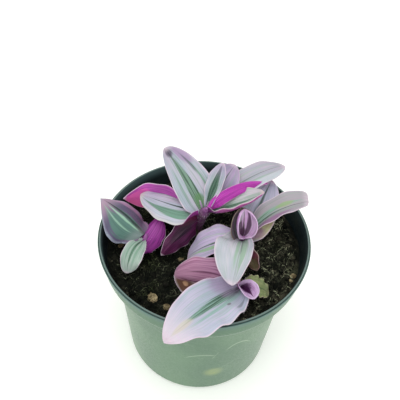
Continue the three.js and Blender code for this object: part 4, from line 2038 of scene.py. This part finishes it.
def leaf_paint(name: str, seed: float, **changes: Colour | float | tuple[Spot, ...]) -> LeafPaint:
    """Name a blade's paint.

    Args:
        name: The leaf's name.
        seed: What its streaks start from.
        changes: Where it differs from the common leaf.

    Returns:
        The paint.
    """
    return LeafPaint(name=f"leaf_{name}", seed=seed, **changes)


def centre_shoot() -> Shoot:
    """Describe the shoot in the middle of the pot.

    Returns:
        The shoot.
    """
    top_boat = leaf_paint("top_boat", 1.0, under=tint(198, 66, 184), under_line=tint(158, 48, 152))
    spear = leaf_paint(
        "spear", 2.0, stripe=tint(66, 106, 83), line=tint(44, 70, 56), centre_width=0.55, centre_end=1.15,
        blush=tint(176, 150, 190), tip_blush=0.6,
    )
    boat = leaf_paint(
        "boat", 3.0, ground=tint(208, 200, 208), cloud=tint(166, 182, 172), margin=tint(222, 200, 196),
        under=tint(190, 96, 164), under_line=tint(140, 60, 130),
        spots=(Spot(tint(96, 34, 100), 0.05, -0.7, 0.18, 0.6, under=True),),
    )
    tall_left = leaf_paint(
        "tall_left", 4.0, ground=tint(186, 182, 196), centre_width=0.26, centre_end=1.05, right_place=0.66,
        right_width=0.1, side=tint(124, 152, 138), tip_blush=0.25,
        spots=(
            Spot(tint(70, 56, 80), 0.93, 0.0, 0.1, 0.5, 0.8),
            Spot(tint(158, 130, 168), 0.78, -0.7, 0.18, 0.35, 0.7),
            Spot(tint(88, 132, 84), 0.12, -0.1, 0.13, 0.3, 0.8),
            Spot(tint(70, 78, 86), 0.62, -0.62, 0.2, 0.07, 0.6),
        ),
    )
    rosy = leaf_paint(
        "rosy", 5.0, ground=tint(184, 166, 196), cloud=tint(160, 150, 180), centre_width=0.1,
        tip_blush=0.3,
    )
    flat_left = leaf_paint(
        "flat_left", 6.0, ground=tint(206, 202, 214), cloud=tint(190, 200, 210), stripe=tint(70, 100, 86),
        centre_width=0.07, left_place=0.42, left_width=0.3, right_place=0.55, right_width=0.05,
        side=tint(106, 153, 127), margin=tint(206, 208, 190), margin_width=0.1,
    )
    tall_right = leaf_paint(
        "tall_right", 7.0, ground=tint(188, 178, 192), cloud=tint(166, 170, 182),
        stripe=tint(140, 148, 146), line=tint(104, 112, 112), centre_width=0.1, right_place=0.4,
        right_width=0.18, side=tint(150, 180, 160),
        spots=(
            Spot(tint(120, 138, 92), 0.24, -0.1, 0.16, 0.35, 0.7),
            Spot(tint(192, 202, 206), 0.6, -0.75, 0.45, 0.35, 0.7),
        ),
    )
    bright_under = leaf_paint(
        "bright_under", 8.0, under=tint(206, 92, 190), under_line=tint(166, 66, 158), lit=0.17,
        # Its glow and these two bright patches are painted light shining through the blade.
        spots=(
            Spot(tint(250, 116, 200), 0.85, -0.1, 0.24, 0.8, 0.95, under=True),
            Spot(tint(255, 120, 190), 0.75, -0.8, 0.35, 0.5, 0.95, under=True),
        ),
    )
    dark_under = leaf_paint(
        "dark_under", 9.0, under=tint(108, 38, 90), under_line=tint(44, 18, 40),
        spots=(
            Spot(tint(134, 44, 92), 0.1, 0.6, 0.3, 0.5, 0.8, under=True),
            # A near-black patch of painted shade.
            Spot(tint(30, 16, 30), 0.4, 0.2, 0.35, 0.5, 0.7, under=True),
        ),
    )
    rear = leaf_paint("rear", 10.0)
    return Shoot(
        "shoot_centre",
        StemLine([[-5, 10, 80], [-4, 8, 96], [-3, 6, 108], [-1, 3, 118], [0, 0, 124]]),
        [
            Leaf(
                122, 28, 43, 72, 40, 6.5, top_boat,
                roll=-140, fold=5, skew=0.1, grow=0.3, blunt=0.8, wave=0.2,
            ),
            Leaf(118, 61, 58, 5, 28, 10, spear, fold=20, grow=1.0, blunt=0.7),
            Leaf(118, 2, 14, -32, 34, 20, boat, roll=-4, fold=18, right=65),
            Leaf(
                117, 129, 38, 24, 42, 22, tall_left,
                roll=-30, fold=5, cup=8, skew=-0.2, grow=0.2, blunt=0.55,
            ),
            Leaf(116, 54, 45, 22, 31, 19, rosy, roll=10, fold=10, grow=0.7),
            Leaf(115, 164, -3, -10, 36, 28, flat_left, roll=5, fold=6, skew=0.2, grow=0.4),
            Leaf(114, 34, 44, 64, 58, 16, tall_right, roll=5, fold=10, skew=-0.1, grow=1.0, blunt=0.7),
            Leaf(
                109, 133, -1, -6, 48, 30, bright_under,
                sway=72, roll=78, fold=0, cup=-5, skew=0.1, grow=1.2, blunt=0.9,
            ),
            Leaf(110, 226, 0, 36, 30, 16, dark_under, roll=115, skew=-0.3, grow=0.4),
            Leaf(106, 96, 14, 40, 34, 20, rear),
        ],
    )


def right_shoot() -> Shoot:
    """Describe the shoot on the right, with the cupped young leaf.

    Returns:
        The shoot.
    """
    cup = leaf_paint(
        "cup", 11.0, ground=tint(228, 188, 230), cloud=tint(220, 192, 224), stripe=tint(140, 130, 132),
        # The dark side colour paints shade in the cup's two grooves.
        line=tint(108, 98, 102), side=tint(72, 40, 70), margin=tint(244, 222, 244), margin_width=0.12,
        centre_width=0.06, centre_end=1.3, left_place=0.27, left_width=0.2, right_place=0.29,
        right_width=0.17, under=tint(196, 150, 204), under_line=tint(120, 60, 124),
        under_margin=tint(224, 196, 228),
        spots=(
            Spot(tint(210, 208, 214), 0.8, 0.25, 0.2, 0.3, 0.6),
            # A dark patch of painted shade at the bottom of the cup.
            Spot(tint(70, 38, 64), 0.15, 0.1, 0.22, 0.4, 0.8),
        ),
    )
    white = leaf_paint(
        "white", 12.0, stripe=tint(150, 172, 154), line=tint(148, 164, 152), ground=tint(200, 198, 206),
        cloud=tint(182, 188, 196), side=tint(152, 180, 158), centre_width=0.05, left_place=0.28,
        left_width=0.3, right_place=0.12, right_width=0.1,
        spots=(Spot(tint(110, 124, 118), 0.3, 0.1, 0.2, 0.06, 0.6),),
    )
    olive = leaf_paint(
        "olive", 13.0, ground=tint(118, 100, 110), cloud=tint(128, 100, 122), margin=tint(140, 132, 104),
        under=tint(120, 92, 112), under_line=tint(84, 60, 78), under_margin=tint(140, 132, 104),
    )
    arc = leaf_paint(
        "arc", 14.0, ground=tint(213, 196, 228), cloud=tint(194, 182, 213), side=tint(168, 206, 166),
        right_width=0.0, left_place=0.34, left_width=0.26, centre_width=0.1,
    )
    rim_leaf = leaf_paint(
        "rim_leaf", 15.0, ground=tint(174, 164, 172), cloud=tint(166, 164, 172), side=tint(138, 178, 156),
        stripe=tint(112, 146, 126), centre_width=0.1, left_place=0.26, left_width=0.2, right_place=0.3,
        right_width=0.1,
        spots=(
            Spot(tint(152, 172, 112), 0.7, 0.24, 0.13, 0.17, 0.6),
            Spot(tint(96, 104, 92), 0.3, 0.3, 0.2, 0.05, 0.7),
            Spot(tint(154, 108, 150), 0.4, -0.7, 0.4, 0.4, 0.8),
        ),
    )
    slate = leaf_paint(
        "slate", 16.0, ground=tint(186, 184, 204), cloud=tint(166, 176, 190), stripe=tint(112, 124, 128),
        side=tint(140, 156, 158), base_blush=0.05,
        spots=(
            Spot(tint(192, 198, 146), 0.32, -0.75, 0.3, 0.6, 0.95),
            Spot(tint(150, 110, 144), 0.16, -0.5, 0.12, 0.5, 0.8),
        ),
    )
    brown = leaf_paint(
        "brown", 17.0, ground=tint(112, 48, 64), cloud=tint(98, 50, 58), stripe=tint(88, 72, 56),
        side=tint(104, 92, 70), margin=tint(172, 150, 138),
        spots=(
            Spot(tint(104, 100, 66), 0.85, 0.0, 0.3, 1.0, 0.8),
            Spot(tint(124, 50, 82), 0.35, 0.4, 0.25, 0.6, 0.7),
        ),
    )
    return Shoot(
        "shoot_right",
        StemLine([[22, -5, 80], [22, -6, 92], [21, -8, 104], [21, -9, 113]]),
        [
            Leaf(112, 100, 72, 0, 16.5, 24, cup, fold=25, cup=75, flatten=0, wave=0, blunt=0.25),
            Leaf(110.5, 259, 44, 72, 35, 20.5, white, roll=5, skew=-0.32, grow=0.45),
            Leaf(
                109, 104, 66, 0, 18.5, 21.5, olive,
                fold=20, cup=50, skew=0.15, flatten=0, wave=0, blunt=0.35,
            ),
            Leaf(109, 187, 9, 72, 34, 21, arc, roll=5, skew=-0.05, grow=0.6, blunt=0.75),
            Leaf(108, 43, 48, 28, 41.5, 16, rim_leaf, sway=-48, roll=-8, skew=0.29, grow=0.8, blunt=0.25),
            Leaf(106, 66, 38, 32, 41, 21, slate, roll=15, skew=-0.1),
            Leaf(106, 300, 7, 50, 16, 11, brown, roll=60),
        ],
    )


def front_shoot() -> Shoot:
    """Describe the shoot at the front, with the very large leaf over the rim.

    Returns:
        The shoot.
    """
    bud = leaf_paint(
        "bud", 21.0, ground=tint(210, 184, 218), cloud=tint(182, 146, 188), stripe=tint(98, 50, 98),
        line=tint(58, 20, 58), side=tint(150, 112, 156), margin=tint(228, 208, 232), centre_width=0.4,
        under=tint(160, 124, 170), under_line=tint(120, 80, 130), under_margin=tint(188, 160, 194),
        # Partly the bud's deep purple, partly painted shade inside its rolled foot.
        spots=(Spot(tint(60, 18, 62), 0.2, 0.0, 0.5, 0.75, 0.95),),
    )
    great = leaf_paint(
        "great", 22.0, ground=tint(192, 188, 208), cloud=tint(176, 182, 200), stripe=tint(127, 166, 148),
        side=tint(150, 182, 176), centre_width=0.23, centre_end=0.88, left_place=0.34, left_width=0.14,
        right_place=0.9, right_width=0.02, blush=tint(230, 214, 222), base_blush=0.0, tip_blush=0.75,
        spots=(
            Spot(tint(168, 138, 178), 0.08, -0.5, 0.2, 0.8, 0.5),
            Spot(tint(208, 200, 178), 0.8, 0.02, 0.13, 0.22, 0.55),
            Spot(tint(110, 108, 112), 0.3, 0.42, 0.03, 0.07, 0.8),
            Spot(tint(110, 120, 122), 0.2, 0.75, 0.1, 0.06, 0.6),
        ),
    )
    lime = leaf_paint(
        "lime", 23.0, ground=tint(140, 148, 100), cloud=tint(120, 136, 90), stripe=tint(104, 122, 80),
        side=tint(152, 160, 112), margin=tint(176, 174, 134),
    )
    dusty = leaf_paint(
        "dusty", 24.0, under=tint(192, 144, 172), under_line=tint(150, 98, 130),
        under_margin=tint(180, 148, 164),
        spots=(
            Spot(tint(150, 148, 136), 0.55, -0.78, 0.7, 0.55, 0.95, under=True),
            Spot(tint(98, 64, 46), 0.84, -0.55, 0.17, 0.42, 0.95, under=True),
            Spot(tint(190, 152, 118), 0.82, -0.45, 0.05, 0.16, 0.95, under=True),
            # A thin dark line of painted shade along the crease.
            Spot(tint(82, 42, 66), 0.5, -0.2, 0.45, 0.04, 0.9, under=True),
            Spot(tint(92, 46, 74), 0.55, 0.35, 0.3, 0.04, 0.7, under=True),
        ),
    )
    return Shoot(
        "shoot_front",
        StemLine([[24, -29, 80], [24, -31, 90], [22, -33, 98], [19, -36, 106]]),
        [
            Leaf(106, 306, 44, 40, 12, 12.5, bud, fold=40, cup=60, flatten=0.6, wave=0.2, blunt=0.4),
            Leaf(
                103, 229, 24, 28, 56, 28, great,
                late=2.4, roll=8, left=-50, wave=1.2, waves=4, calm=0.8, skew=-0.04, blunt=0.7,
            ),
            Leaf(102, 16, 2, 56, 16, 13, lime, sway=-25, wave=0.7, waves=5),
            Leaf(101.5, 176, 16, 18, 34.5, 30, dusty, roll=95, right=-120, grow=0.6, blunt=0.55),
        ],
    )


def left_shoot() -> Shoot:
    """Describe the shoot on the left, with the broad leaf over the rim.

    Returns:
        The shoot.
    """
    teal = leaf_paint(
        "teal", 31.0, ground=tint(108, 90, 118), cloud=tint(92, 84, 113), stripe=tint(70, 104, 92),
        line=tint(30, 48, 44), side=tint(86, 126, 114), margin=tint(158, 164, 180), centre_width=0.1,
        left_place=0.4, left_width=0.42, right_place=0.12, right_width=0.09, margin_width=0.1,
        blush=tint(198, 164, 184), tip_blush=0.7,
        spots=(
            Spot(tint(152, 190, 166), 0.45, 0.1, 0.4, 0.045),
            Spot(tint(148, 186, 164), 0.55, 0.36, 0.35, 0.04, 0.7),
            Spot(tint(34, 44, 48), 0.6, -0.06, 0.4, 0.05),
            Spot(tint(172, 130, 162), 0.5, -0.9, 0.5, 0.22, 0.8),
        ),
    )
    curved = leaf_paint(
        "curved", 32.0, ground=tint(170, 188, 176), cloud=tint(150, 172, 160), stripe=tint(96, 134, 110),
        side=tint(120, 156, 134), centre_width=0.18, left_place=0.4, left_width=0.12, right_place=0.45,
        right_width=0.12,
    )
    young = leaf_paint("young", 33.0, under=tint(168, 62, 160), under_line=tint(104, 34, 110))
    return Shoot(
        "shoot_left",
        StemLine([[-41, -18, 80], [-39, -15.5, 90], [-33.5, -9, 101], [-32, -7, 108]]),
        [
            Leaf(107, 150, 38, 38, 32, 27, teal, roll=-10, fold=-40, cup=-5, skew=0.2, grow=0.6, blunt=1.0),
            Leaf(104, 228, 20, 76, 22, 12, curved, sway=45, roll=-5, skew=0.2, grow=0.6, blunt=0.55),
            Leaf(
                96.2, 234, 112, -55, 25.5, 20, young,
                roll=-10, fold=25, cup=50, flatten=0.1, blunt=0.4,
            ),
        ],
    )


def main() -> None:
    """Build the studio, the pot, its soil and the four shoots."""
    Studio().build()
    pot = Pot()
    pot.build()
    Soil(pot).build()
    for shoot in (centre_shoot(), right_shoot(), front_shoot(), left_shoot()):
        shoot.build()


if __name__ == "__main__":
    logging.basicConfig(level=logging.INFO, format="%(name)s %(message)s")
    main()
